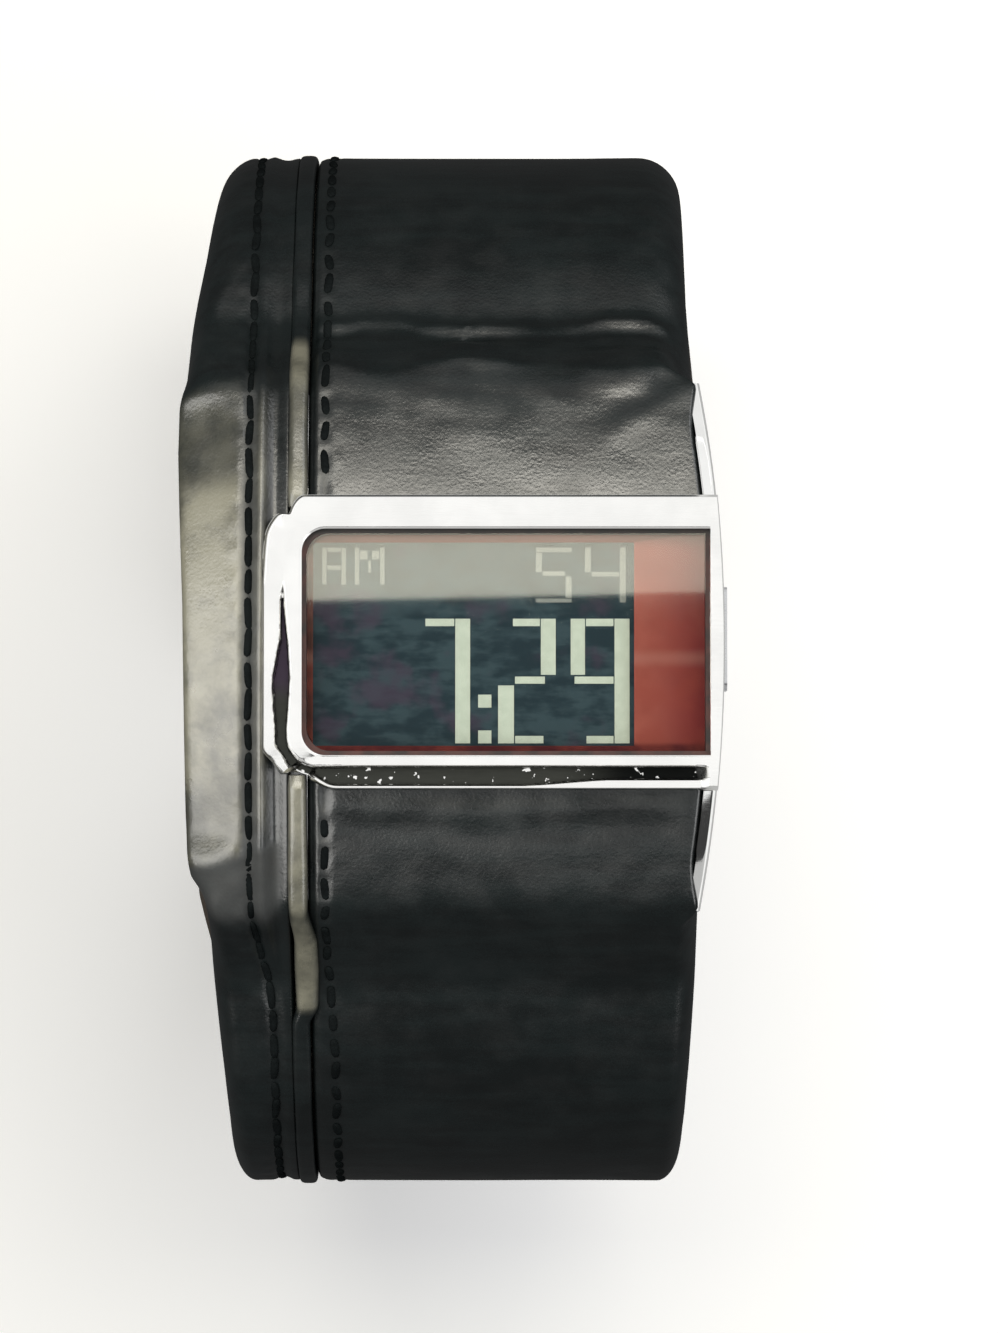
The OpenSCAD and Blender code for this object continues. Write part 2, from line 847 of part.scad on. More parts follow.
module battery_insulator() {
  color([0.8, 0.6, 0.2]) at_case() translate([battery_x, 0, film_low]) cylinder(h = 0.15, d = 15);
}
module buzzer() {
  color(brass) at_case() translate([buzzer_x, 0, buzzer_low]) {
    cylinder(h = 0.15, d = 7.6);
    translate([0, 0, 0.15]) cylinder(h = 0.15, d = 5.4);
  }
}
module coil(r, wire, h, turns) {
  translate([0, 0, wire / 2])
    linear_extrude(h - wire, twist = -360 * turns, slices = 16 * turns, $fn = 6)
      translate([r, 0]) circle(wire / 2, $fn = 6);
  for (z = [wire / 2, h - wire / 2]) translate([0, 0, z])
    rotate_extrude($fn = 24) translate([r, 0]) circle(wire / 2, $fn = 8);
}
module buzzer_spring() {
  color(steel) at_case() translate([buzzer_x, 0, buzzer_low + 0.3])
    coil(0.6, 0.2, board_low - buzzer_low - 0.3, 4);
}

// Pusher. Its own shapes are drawn along Z and then turned to face +X.
module at_push(x) {
  translate([x, push_y, push_z]) rotate([0, 90, 0]) children();
}
module bar_plan(g) {
  a = pusher_l / 2 + g;
  b = pusher_h / 2 + g;
  r = 0.6 + g;
  translate([-b + r, -a]) square([2 * (b - r), 2 * a]);
  translate([-b, -a + r]) square([2 * b, 2 * (a - r)]);
  for (m = [-1, 1]) for (n = [-1, 1]) translate([m * (b - r), n * (a - r)]) circle(r);
}
module pusher_room() {
  at_push(pocket_x) linear_extrude(6) bar_plan(set_fit);
  a = stem_d / 2 + run_fit;
  b = stem_d / 2 + 0.45;
  at_push(cav_x1 - 1) rotate_extrude() polygon([[0, 0], [a, 0], [a, pocket_x - seal_l - cav_x1 + 1],
    [b, pocket_x - seal_l - cav_x1 + 1], [b, pocket_x - cav_x1 + 1.2], [0, pocket_x - cav_x1 + 1.2]]);
}
module pusher() {
  color(steel) at_case() {
    at_push(head_x) linear_extrude(head_t) bar_plan(0);
    at_push(stem_x) cylinder(h = head_x - stem_x, d = stem_d);
  }
}
module pusher_spring() {
  color(steel) at_case() at_push(pocket_x) coil(stem_d / 2 + 0.3, 0.22, head_x - pocket_x, 3);
}
module pusher_gasket() {
  color(rubber) at_case() at_push(pocket_x - seal_l) difference() {
    cylinder(h = seal_l, r = stem_d / 2 + 0.45);
    cylinder(h = 4, r = stem_d / 2 + run_fit, center = true);
  }
}
module pusher_clip() {
  color(steel) at_case() at_push(cav_x1 - 0.3) difference() {
    cylinder(h = 0.3, r = 1);
    cylinder(h = 4, r = stem_d / 2, center = true);
  }
}

// Buckle and keepers.
module buckle_frame() {
  x1 = arm_x + arm_w;
  ear = tube_d / 2 + 1.05;
  color(steel) difference() {
    union() {
      for (m = [0, 1]) mirror([m, 0, 0]) along_x(arm_x, x1)
        polygon([[-8, 0.3], [-7.7, 0], [6.4, 0], [7, 0.6], [7, bar_z + 0.8], [bar_y + 1.1, bar_z + ear],
                 [bar_y - 1.1, bar_z + ear], [3, bar_z + 0.8], [3, buckle_h + 0.8],
                 [2.2, buckle_h], [-8, buckle_h]]);
      along_x(-x1, x1) polygon([[-8, 0.3], [-7.7, 0], [-5.5, 0], [-5.5, buckle_h - 0.3],
                                [-5.8, buckle_h], [-8, buckle_h]]);
    }
    box([-tang_w / 2 - 0.2, -9, -1], [tang_w / 2 + 0.2, -5, 0.1 + tang_t + 0.1]);
    along_x(-x1 - 1, x1 + 1) translate([bar_y, bar_z]) circle(tip_r + run_fit);
  }
}
tip_r = tube_d / 2 - 0.23;
module spring_bar_tube() {
  color(steel) difference() {
    along_x(-tail_w / 2 + 0.1, tail_w / 2 - 0.1) translate([bar_y, bar_z]) circle(tube_d / 2);
    along_x(-side_x, side_x) translate([bar_y, bar_z]) circle(tip_r + run_fit);
  }
}
module spring_bar_tips() {
  color(steel) for (m = [0, 1]) mirror([m, 0, 0])
    along_x(8, arm_x + arm_w - 0.3) translate([bar_y, bar_z]) circle(tip_r);
}
module spring_bar_spring() {
  color(steel) translate([-8, bar_y, bar_z]) rotate([0, 90, 0]) coil(tip_r - 0.12, 0.16, 16, 10);
}
module tang_2d() {
  knee = [0.4, 0.1 + tang_t / 2];
  ring_r = tube_d / 2 + 0.75;
  dy = bar_y - knee[0];
  dz = bar_z - knee[1];
  len = sqrt(dy * dy + dz * dz);
  difference() {
    union() {
      translate([bar_y, bar_z]) circle(ring_r);
      translate(knee) rotate(atan2(dz, dy)) translate([0, -tang_t / 2]) square([len, tang_t]);
      translate(knee) circle(tang_t / 2);
      translate([-7.9, 0.1]) square([7.9 + knee[0], tang_t]);
    }
    translate([bar_y, bar_z]) circle(tube_d / 2 + run_fit);
  }
}
module tang() {
  color(steel) along_x(-tang_w / 2, tang_w / 2) tang_2d();
}
module keeper(a, g) {
  r0 = wrist_low_r - g;
  r1 = tail_out_r + loose_fit;
  x1 = tail_w / 2 + loose_fit;
  color(leather) difference() {
    along_x(-x1 - keeper_t, x1 + keeper_t) intersection() {
      difference() {
        translate([0, low_c]) circle(r1 + keeper_t);
        translate([0, low_c]) circle(r0 - keeper_t);
      }
      wedge(a - keeper_half_a, a + keeper_half_a);
    }
    along_x(-x1, x1) difference() {
      translate([0, low_c]) circle(r1);
      translate([0, low_c]) circle(r0);
    }
  }
}
module fixed_keeper() {
  keeper(fixed_a, 0);
}
module free_keeper() {
  keeper(free_a, loose_fit);
}

case_body();
case_back();
case_back_gasket();
case_back_screws();
bezel_frame();
crystal();
crystal_gasket();
dial_mask();
lcd_panel();
lcd_digits();
backlight();
zebra_strips();
module_frame();
circuit_board();
driver_chip();
quartz_can();
battery();
battery_clip();
battery_insulator();
buzzer();
buzzer_spring();
pusher();
pusher_spring();
pusher_gasket();
pusher_clip();
upper_left();
upper_top();
upper_bottom();
welt_top();
welt_bottom();
lining();
padding_top();
padding_bottom();
buckle_frame();
spring_bar_tube();
spring_bar_tips();
spring_bar_spring();
tang();
fixed_keeper();
free_keeper();
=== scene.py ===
import bmesh
import bpy
import numpy as np
from mathutils import Matrix, Vector


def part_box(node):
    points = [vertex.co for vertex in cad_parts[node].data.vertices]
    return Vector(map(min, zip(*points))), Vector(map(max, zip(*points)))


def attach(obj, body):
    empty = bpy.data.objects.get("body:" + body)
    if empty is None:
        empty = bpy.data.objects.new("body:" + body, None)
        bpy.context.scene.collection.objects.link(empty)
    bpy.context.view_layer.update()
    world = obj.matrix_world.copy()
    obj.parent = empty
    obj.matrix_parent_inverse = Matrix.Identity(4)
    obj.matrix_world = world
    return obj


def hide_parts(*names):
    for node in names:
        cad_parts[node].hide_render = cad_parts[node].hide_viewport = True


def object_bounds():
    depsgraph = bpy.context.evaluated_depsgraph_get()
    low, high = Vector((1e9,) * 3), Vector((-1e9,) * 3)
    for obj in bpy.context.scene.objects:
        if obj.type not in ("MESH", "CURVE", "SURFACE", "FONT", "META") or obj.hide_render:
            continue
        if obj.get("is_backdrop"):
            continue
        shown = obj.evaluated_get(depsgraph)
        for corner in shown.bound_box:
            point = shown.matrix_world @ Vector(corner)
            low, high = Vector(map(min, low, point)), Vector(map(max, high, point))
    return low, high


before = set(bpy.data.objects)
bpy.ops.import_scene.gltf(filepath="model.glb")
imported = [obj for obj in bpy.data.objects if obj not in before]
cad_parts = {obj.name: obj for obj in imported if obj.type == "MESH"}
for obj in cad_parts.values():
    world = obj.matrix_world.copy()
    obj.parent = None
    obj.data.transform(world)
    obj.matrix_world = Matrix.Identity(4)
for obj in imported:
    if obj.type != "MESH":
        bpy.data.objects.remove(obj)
cad_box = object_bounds()

# %% [markdown]
# The photograph looks down on the dial from a little below it. A long lens far away keeps the cuff's
# low sides from shrinking, which is how product pictures are taken. The lens angle follows from two
# real sizes: how far the camera is from the glass, and how tall the picture is there.
# %% Camera
MM = 0.001
DIAL_Z = 61.2
view_height = 89.3
view_middle = np.array([3.18, -1.64, DIAL_Z])
view_distance = 450.0
lean_down = np.radians(3.1)

toward_camera = np.array([0.0, -np.sin(lean_down), 1.0])
toward_camera /= np.linalg.norm(toward_camera)
camera_at = view_middle + view_distance * toward_camera
camera = bpy.data.objects.new("camera", bpy.data.cameras.new("camera"))
bpy.context.scene.collection.objects.link(camera)
camera.location = Vector(camera_at * MM)
across_view = np.cross([0, 1, 0], toward_camera)
across_view /= np.linalg.norm(across_view)
axes = np.stack([across_view, np.cross(toward_camera, across_view), toward_camera], 1)
camera.rotation_euler = Matrix(axes.tolist()).to_euler()
camera.data.sensor_fit = "VERTICAL"
camera.data.angle = 2 * np.arctan(view_height / 2 / view_distance)
camera.data.clip_start = 0.01
bpy.context.scene.camera = camera
print("camera at", camera_at.round(1), "mm, lens angle", round(float(np.degrees(camera.data.angle)), 2))

# %% [markdown]
# Every leather piece is a thin shell: an outer grid of points, an inner grid with as many points,
# and walls that join their rims. A mask of cells can leave a hole, whose rim gets walls too. Done
# with whole arrays, this is quick even for grids of many thousand points.
# %% A piece from points and faces
MERGE_M = 2e-7


def make_piece(name, points, faces, slot, body, replaced=(), marks=None, crease=40):
    """Puts points (in mm) and faces into a mesh, merges doubles, turns its faces outwards,
    and says which body it rides on; slot, what it stands for, is not used. marks are values at
    its points; edges bent by more than crease degrees are drawn sharp."""
    mesh = bpy.data.meshes.new(name)
    mesh.from_pydata((points * MM).tolist(), [], faces)
    for mark, values in (marks or {}).items():
        attribute = mesh.attributes.new(mark, "FLOAT", "POINT")
        attribute.data.foreach_set("value", values.astype(np.float32))
    work = bmesh.new()
    work.from_mesh(mesh)
    bmesh.ops.remove_doubles(work, verts=work.verts, dist=MERGE_M)
    bmesh.ops.dissolve_degenerate(work, edges=work.edges, dist=MERGE_M / 20)
    bmesh.ops.delete(work, geom=[v for v in work.verts if not v.link_faces], context="VERTS")
    bmesh.ops.recalc_face_normals(work, faces=work.faces)
    work.to_mesh(mesh)
    work.free()
    mesh.shade_smooth()
    mesh.set_sharp_from_angle(angle=np.radians(crease))
    piece = bpy.data.objects.new(name, mesh)
    bpy.context.scene.collection.objects.link(piece)
    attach(piece, body)
    if replaced:
        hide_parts(*replaced)
    print(name, len(mesh.polygons), "faces")
    return piece

# %% A closed shell from two grids
def shell(outer, inner, keep=None):
    """Points and faces of a closed shell. The quads between neighbouring points are taken on both
    grids, and each side of a kept cell whose neighbour isn't kept gets a wall between the grids."""
    rows, cols = outer.shape[:2]
    count = rows * cols
    number = np.arange(count).reshape(rows, cols)
    a, b, c, d = number[:-1, :-1], number[1:, :-1], number[1:, 1:], number[:-1, 1:]
    keep = np.ones(a.shape, bool) if keep is None else keep
    around = np.pad(keep, 1)
    sides = [(a, b, around[1:-1, :-2]), (b, c, around[2:, 1:-1]),
             (c, d, around[1:-1, 2:]), (d, a, around[:-2, 1:-1])]
    top = np.stack([a, b, c, d], -1)[keep]
    walls = [np.stack([q, p, p + count, q + count], -1)[keep & ~near] for p, q, near in sides]
    faces = np.concatenate([top, top[:, ::-1] + count, *walls])
    points = np.concatenate([outer.reshape(-1, 3), inner.reshape(-1, 3)])
    return points, faces.tolist()

# %% [markdown]
# Seen from the side the cuff is a ring: four arcs make its oval, and a flatter arc lies over the
# case. The ring could be drawn point by point, but a strap has several faces that must stay
# parallel. So a point of an oval is found from the direction of its outward normal, because two
# arcs that touch share the normal where they meet: one formula gives the inner and outer face of
# each layer, and points on both faces lie opposite each other.
# %% Sizes of the ring in Y and Z
TOP_Z, WIDE_Z = 51.6, 28.1             # top of the wrist's opening, and its widest place
WRIST_W = 65.6                         # width of the opening
WRIST_TOP_R, WRIST_LOW_R = 44.0, 42.0  # radius of its upper and its lower arc
LINING_T, UPPER_T = 1.0, 1.2           # thickness of the two leathers
SIDE_T, TOP_T = 3.9, 4.4               # thickness of the whole strap at its sides and on top
END_T = LINING_T + UPPER_T             # its thickness at the buckle
TOP_C, LOW_C = TOP_Z - WRIST_TOP_R, 47.6
COVER_R, COVER_C, HALF_L = 46.0, 14.2, 17.9  # arc over the case, its centre, the case's half length
END_SLOPE = np.radians(53)             # fall of the leather beyond the case
RISE_FROM, RISE_TO = -20.0, 4.0        # degrees between which the tail climbs out of the ring
TAIL_END, TAIL_LIFT = 38.0, 2.3        # degrees at the tail's tip, and how far it has climbed
BAR_Y, BAR_RHO = 5.0, 42.7             # place of the spring bar
NOSE_R, TUBE_R = 1.45, 0.65            # outside of the fold round it, and the bar's own radius
BAR_A = np.degrees(np.arcsin(BAR_Y / BAR_RHO))
BAR_Z = LOW_C - BAR_RHO * np.cos(np.radians(BAR_A))
print("spring bar at y", BAR_Y, "z", BAR_Z.round(2), "mm,", BAR_A.round(2), "degrees from straight down")

# %% Arcs of the ring
def oval(a, half_w, r_top, r_low):
    """Point of the oval whose outward normal leans by a (degrees) from straight up towards +Y:
    the centre of the arc that a falls in plus its radius times (sin a, cos a). A side arc's radius
    q touches the large arc r about c at q = (r^2 - b^2 - dz^2) / 2(r - b), dz = c - middle."""
    turn = np.radians(np.abs(a))
    q_top, q_low = [(r * r - half_w ** 2 - (c - WIDE_Z) ** 2) / (2 * (r - half_w))
                    for r, c in ((r_top, TOP_C), (r_low, LOW_C))]
    join_top = np.arctan2(half_w - q_top, WIDE_Z - TOP_C)
    join_low = np.arctan2(half_w - q_low, WIDE_Z - LOW_C)
    zone = [turn < join_top, turn < np.pi / 2, turn < join_low]
    cy = np.select(zone, [0, half_w - q_top, half_w - q_low], 0)
    cz = np.select(zone, [TOP_C, WIDE_Z, WIDE_Z], LOW_C)
    r = np.select(zone, [r_top, q_top, q_low], r_low)
    return np.stack([np.where(a < 0, -1, 1) * (cy + r * np.sin(turn)), cz + r * np.cos(turn)], -1)


def low_arc(rho, a):
    """Point at the distance rho from the low centre, a degrees from straight down towards +Y."""
    return np.stack([rho * np.sin(np.radians(a)), LOW_C - rho * np.cos(np.radians(a))], -1)


def tail_line(rho):
    """From the tail's tip back to where it leaves the ring: an arc, then a smooth rise of TAIL_LIFT."""
    tip = np.linspace(TAIL_END, RISE_TO, 90)
    rise = np.linspace(RISE_TO, RISE_FROM, 80)[1:-1]
    u = (rise - RISE_FROM) / (RISE_TO - RISE_FROM)
    lift = TAIL_LIFT * u * u * (3 - 2 * u)
    return np.concatenate([low_arc(rho + TAIL_LIFT, tip), low_arc(rho + lift, rise)])


def nose_line(start, end):
    """Arc of the fold round the spring bar, in degrees from outward towards the strap's end."""
    a = np.radians(np.linspace(start, end, 14)[1:])
    out = np.array([np.sin(np.radians(BAR_A)), -np.cos(np.radians(BAR_A))])
    along = np.array([-np.cos(np.radians(BAR_A)), -np.sin(np.radians(BAR_A))])
    return np.array([BAR_Y, BAR_Z]) + NOSE_R * (np.cos(a)[:, None] * out + np.sin(a)[:, None] * along)

# %% A line that knows its normals and its length
FINE_STEP = 0.1


def walk(points, step, soft=0.0):
    """Points step mm apart along a line. Its corners are rounded by a bell-shaped average that
    reaches soft mm each way, and the ends are mirrored through themselves so that they stay."""
    def spread(line, gap):
        run = np.concatenate([[0], np.cumsum(np.linalg.norm(np.diff(line, axis=0), axis=1))])
        at = np.linspace(0, run[-1], int(round(run[-1] / gap)) + 1)
        return np.stack([np.interp(at, run, line[:, k]) for k in (0, 1)], 1)
    fine = spread(points, FINE_STEP)
    if soft:
        n = int(3 * soft / FINE_STEP)
        weights = np.exp(-0.5 * (np.arange(-n, n + 1) * FINE_STEP / soft) ** 2)
        padded = np.concatenate([2 * fine[0] - fine[n:0:-1], fine, 2 * fine[-1] - fine[-2:-n - 2:-1]])
        fine = np.stack([np.convolve(padded[:, k], weights / weights.sum(), "valid") for k in (0, 1)], 1)
    return spread(fine, step)


class Line:
    """A line round the ring: points p, outward normals n and the distance s from the dial's middle."""

    def __init__(self, p, n, s):
        self.p, self.n, self.s = p, n, s

    @classmethod
    def through(cls, points):
        """The normal is the tangent turned by 90 degrees, and s the length run so far, less its
        value over the dial's middle."""
        tangent = np.gradient(points, axis=0)
        tangent /= np.linalg.norm(tangent, axis=1)[:, None]
        run = np.concatenate([[0], np.cumsum(np.linalg.norm(np.diff(points, axis=0), axis=1))])
        top = points[:, 1] > WIDE_Z
        return cls(points, np.stack([-tangent[:, 1], tangent[:, 0]], 1),
                   run - np.interp(0, points[top, 0], run[top]))

    def part(self, keep):
        """The stretch of the line where keep holds."""
        return Line(self.p[keep], self.n[keep], self.s[keep])

    def at(self, s, x, out):
        """3-D point at s along the line, x across the cuff and out along the outward normal."""
        y, z, ny, nz = (np.interp(s, self.s, v) for v in (*self.p.T, *self.n.T))
        size = np.hypot(ny, nz)
        return np.stack(np.broadcast_arrays(x, y + out * ny / size, z + out * nz / size), -1)

# %% [markdown]
# The outer face is one line from the tail's tip to the fold round the spring bar. The arc over the
# case takes the place of the part of the oval that lies under it, and straight slopes join the two.
# Rounding the whole line afterwards, by 0.8 mm, bends it as thick leather bends.
# %% The outer face and the lining's outer face
half_turn = np.linspace(-180 - RISE_FROM, 180 - BAR_A, 900)
cover_turn = np.arcsin(HALF_L / COVER_R) * np.linspace(-1, 1, 120)
cover = np.stack([COVER_R * np.sin(cover_turn), COVER_C + COVER_R * np.cos(cover_turn)], 1)
hull = oval(half_turn, WRIST_W / 2 + SIDE_T, WRIST_TOP_R + TOP_T, WRIST_LOW_R + END_T)
slope_z = cover[0, 1] - (np.abs(hull[:, 0]) - HALF_L) * np.tan(END_SLOPE)
SLOPE_LOW = TOP_Z - 12
below_slope = (hull[:, 1] > SLOPE_LOW) & (hull[:, 1] < slope_z)
below_cover = (np.abs(hull[:, 0]) < HALF_L) & (hull[:, 1] > WIDE_Z)
first, last = np.flatnonzero(below_slope | below_cover)[[0, -1]]
outer_points = np.concatenate([tail_line(WRIST_LOW_R + END_T), hull[:first], cover, hull[last + 1:],
                               nose_line(0, 80)])
LEATHER_STEP = 0.35
OUTER = Line.through(walk(outer_points, LEATHER_STEP, soft=0.8))
lining_top = oval(half_turn, WRIST_W / 2 + LINING_T, WRIST_TOP_R + LINING_T, WRIST_LOW_R + LINING_T)
lining_outer = np.concatenate([tail_line(WRIST_LOW_R + LINING_T), lining_top])
print("outer line", OUTER.s[[0, -1]].round(1), "mm from the dial's middle,", len(OUTER.s), "points")

# %% [markdown]
# Seen from above, both long sides bulge beside the case, and the strap narrows towards the buckle
# and ends in a round tip. The depth of the leather's edge is the way down to the lining: a padded
# strap has its outer leather drawn down over its edges. Straight edges would look machined, so the
# upper half goes through sizes that are uneven in the way a worn strap is.
# %% Sizes of the strap's edges
TAIL_W = 26.0                          # width of the tail
FLANK_X, FLANK_R, RIM_W = 18.25, 105.0, 0.85  # the case's bare flank: place, radius, rim beside the leather
TAPER_LOW, TAPER_HIGH = 10.52, 26.0    # heights between which the strap narrows
WELT_X, WELT_W = -10.35, 1.1           # middle and width of the welt's seam
TIP_FROM = (WRIST_LOW_R + TAIL_LIFT) * np.sin(np.radians(TAIL_END)) - TAIL_W / 2 * 0.8
EDGE_Y = [-36.7, -34.0, -30.7, -27.4, -24.0, -21.3, -19.3, -18.0, -16.3, -12.0, -4.0, 3.0,
          9.5, 14.0, 17.6, 20.0, 23.0, 26.0, 29.6, 36.7]
EDGE_LEFT = [15.75, 15.8, 16.0, 16.25, 16.5, 16.75, 17.15, 17.5, 17.9, 18.1, 18.2, 18.3,
             18.55, 18.7, 18.65, 18.5, 18.2, 17.85, 17.35, 16.65]
EDGE_RIGHT = [16.0, 16.1, 16.3, 16.45, 16.6, 16.7, 16.75, 16.8, 16.8, 16.8, 16.8, 16.8,
              16.8, 16.8, 16.7, 16.5, 16.25, 16.1, 16.05, 16.0]

# %% Edges along a line
def smooth(v, start, end):
    """0 before start, 1 after end, with a smooth cubic 3u^2 - 2u^3 between; start may be larger."""
    u = np.clip((v - start) / (end - start), 0, 1)
    return u * u * (3 - 2 * u)


def bell(v, middle, width):
    """A smooth hump of height 1: exp(-((v - middle) / width)^2)."""
    return np.exp(-((v - middle) / width) ** 2)


def tail_part(line):
    """True where the line is in the part that has left the ring, towards the tail's tip."""
    return line.s < line.s[0] + (WRIST_LOW_R + END_T) * np.radians(TAIL_END - RISE_FROM)


def edges(line, inset=RIM_W):
    """Left and right edge of the strap along a line. On the upper half the left edge goes through
    the sizes above, and so does the right one beyond the case; beside the case it is an arc of
    the flank's radius. On the lower half the two narrow to the tail's width."""
    y, z = line.p.T
    tail = tail_part(line)
    down = np.interp(z, [TAPER_LOW, TAPER_HIGH], [1, 0])
    left, right = [TAIL_W / 2 * down + np.interp(y, EDGE_Y, side) * (1 - down)
                   for side in (EDGE_LEFT, EDGE_RIGHT)]
    flank_edge = FLANK_X - inset - (FLANK_R - np.sqrt(FLANK_R ** 2 - np.clip(y, -30, 30) ** 2))
    step = smooth(np.abs(y), 13.8, 18.3)
    right = np.where((z > WIDE_Z) & (step < 1), flank_edge + (right - flank_edge) * step, right)
    tip_share = (y - TIP_FROM) / (y[0] + 0.001 - TIP_FROM)
    tip = TAIL_W / 2 * np.sqrt(np.clip(1 - tip_share ** 2, 0, 1))
    narrow = np.where(tail & (y > TIP_FROM), tip, np.where(tail, TAIL_W / 2, np.inf))
    return -np.minimum(left, narrow), np.minimum(right, narrow)


def depth_to_lining(line):
    """Shortest way from each point of a line to the lining's outer face on its own half."""
    top = len(lining_outer) - len(lining_top) + int(np.argmin(np.abs(half_turn)))
    halves = lining_outer[:top + 1], lining_outer[top:]
    near = [np.linalg.norm(line.p[:, None] - half[None], axis=2).min(1) for half in halves]
    return np.where(line.s < 0, near[0], near[1])


left_edge, right_edge = edges(OUTER)
edge_depth = np.maximum(depth_to_lining(OUTER) - 0.02, UPPER_T)
print("edge depth", edge_depth.min().round(2), "to", edge_depth.max().round(2), "mm")

# %% [markdown]
# What makes it leather is its relief. Beside the welt the skin is drawn down, each row of stitches
# pulls a line of small pits, the left side falls away from a crest, and the leather creases where
# it bends down over the end of the case. Sculpting by hand could do it; here each of these is a
# small height in mm added to the smooth face, as a formula of the place s along and x across the
# cuff, so that stitches, marks and creases can ask for the same places.
# %% Rows of stitches and the left side
CREST_X, FLANGE_SLOPE = -13.7, np.tan(np.radians(25))
PITCH = 2.1


def left_row(s):
    """Place of the left row of stitches across the cuff: it moves in on the 6 o'clock side."""
    return -13.75 + 1.35 * smooth(-s, 17, 30)


def right_row(s):
    """Place of the right row across the cuff."""
    return -8.65 + 0.5 * smooth(-s, 20, 34)


def flange_fall(s, x):
    """Depth of the left side below the crest: a slope of 25 degrees that a soft maximum,
    w log(1 + exp(v / w)), rounds at the crest. The crest runs out to the left beyond the case,
    which ends the side on a diagonal."""
    crest = CREST_X - 1.6 * smooth(s, 15.5, 20) - 2.6 * smooth(-s, 12.5, 15.8)
    soft = 0.3
    bent = soft * np.log1p(np.exp(np.clip((crest - x) / soft, -30, 30)))
    return FLANGE_SLOPE * bent * smooth(s, 23, 17) * smooth(-s, 17.8, 14.4)

# %% Creases at 12 and 6 o'clock
def creases(s, x):
    """The leather at 12 o'clock, as sums of humps and hollows across it: two long folds that
    meander as three sine waves, slanting ones at the right, shallow rumples before them, and the
    drape, a bulge where the leather is too stiff to follow the end of the case."""
    meander = 0.5 * np.sin(0.33 * x + 0.6) + 0.28 * np.sin(0.81 * x + 2.0) + 0.12 * np.sin(2.3 * x)
    high, low = s - 19.7 - 0.7 * meander, s - 25.5 + 0.8 * meander
    shown = smooth(x, -10.4, -8) * (0.7 + 0.3 * np.sin(0.55 * x + 1))
    upper_fold = 0.1 * bell(high, 0, 0.42) - 0.12 * bell(high, 0.9, 0.4)
    lower_fold = 0.36 * bell(low, 0, 0.55) - 0.24 * bell(low, -1.1, 0.55)
    third = 0.1 * bell(s - 21.6 - 0.6 * np.sin(0.7 * x), 0, 0.35) * smooth(x, 2, 8)
    slant = s - 15.4 - 0.62 * (x - 12)
    side = (0.1 * bell(slant, 0, 0.9) - 0.09 * bell(slant, 1.8, 0.9)
            + 0.08 * bell(slant, 3.4, 0.8)) * smooth(x, 8.5, 13)
    long_wave = 0.05 * np.sin(0.55 * x + 0.8 * np.sin(0.6 * s)) * np.sin(0.95 * s + 0.4 * np.sin(0.5 * x))
    short_wave = 0.03 * np.sin(1.3 * x + 1.1 * s) * np.sin(1.7 * s - 0.6 * x)
    rumple = long_wave * bell(s, 17, 3.5) + short_wave * bell(s, 18, 3)
    over = s - 0.6 * meander
    bulge = 0.85 - 0.15 * smooth(x, 8, 13)
    drape = bulge * np.clip((over - 17.5) / 2.7, 0, 1) ** 1.5 * smooth(over, 23.9, 21.0)
    return (upper_fold + lower_fold + third + rumple + drape) * shown + side * smooth(s, 21, 18)


def below_six(s, x):
    """Shallow folds across the leather below the frame: a hump and a hollow that follow a wave."""
    wave = 0.5 * np.sin(0.3 * x + 1) + 0.2 * np.sin(0.9 * x)
    across = smooth(x, -9.5, -6) * smooth(x, 17, 13)
    hump, hollow = bell(s + 11.2 + 0.3 * wave, 0, 0.6), bell(s + 12.8 + 0.5 * wave, 0, 0.8)
    return across * (0.07 * hump - 0.08 * hollow)

# %% Relief of the outer leather
def relief(s, x):
    """Height of the outer leather over its smooth face, in mm: the valley left of the welt, the
    groove right of it, both rows with a pit at each stitch, a pucker outside them, waves, and
    the creases."""
    beat = np.cos(2 * np.pi * s / PITCH + 0.5 * np.sin(0.9 * s))
    stitched = 0.25 + 0.75 * smooth(beat, -0.95, -0.1)
    calm = 1 - 0.6 * smooth(np.abs(s), 21, 30)
    valley = -0.45 * bell(x, -12.0, 0.6) + 0.16 * bell(x, left_row(s) + 0.85, 0.26)
    groove = -0.42 * bell(x, -9.6, 0.34)
    rows = (-0.5 * bell(x, left_row(s), 0.36) * (0.7 + 0.3 * stitched)
            - 0.2 * bell(x, right_row(s), 0.36) * stitched)
    pucker = beat * (0.06 * bell(x, left_row(s) - 0.8, 0.4) + 0.015 * bell(x, right_row(s) + 0.8, 0.4))
    waves = (0.035 * np.sin(0.35 * s + 0.5 * np.sin(0.3 * x)) * np.sin(0.22 * x + 1.3)
             + 0.012 * np.sin(0.9 * s + 0.4 * x))
    dents = 0.03 * np.sin(0.8 * s + 1.7 * x) * np.sin(0.53 * s - 0.6) * smooth(x, -13.5, -15)
    return (valley + groove + rows + pucker) * calm + waves + dents + creases(s, x) + below_six(s, x)


print("relief from", relief(*np.meshgrid(OUTER.s, np.arange(-18, 18, 0.2))).min().round(2), "mm")

# %% Where the leather is painted pale, with wear and painted sheen, and where it is dull
def pale_end(x):
    """Where along the cuff the pale side ends at 6 o'clock: a line that slants across the side."""
    return -15.6 + 0.33 * (x + 18)


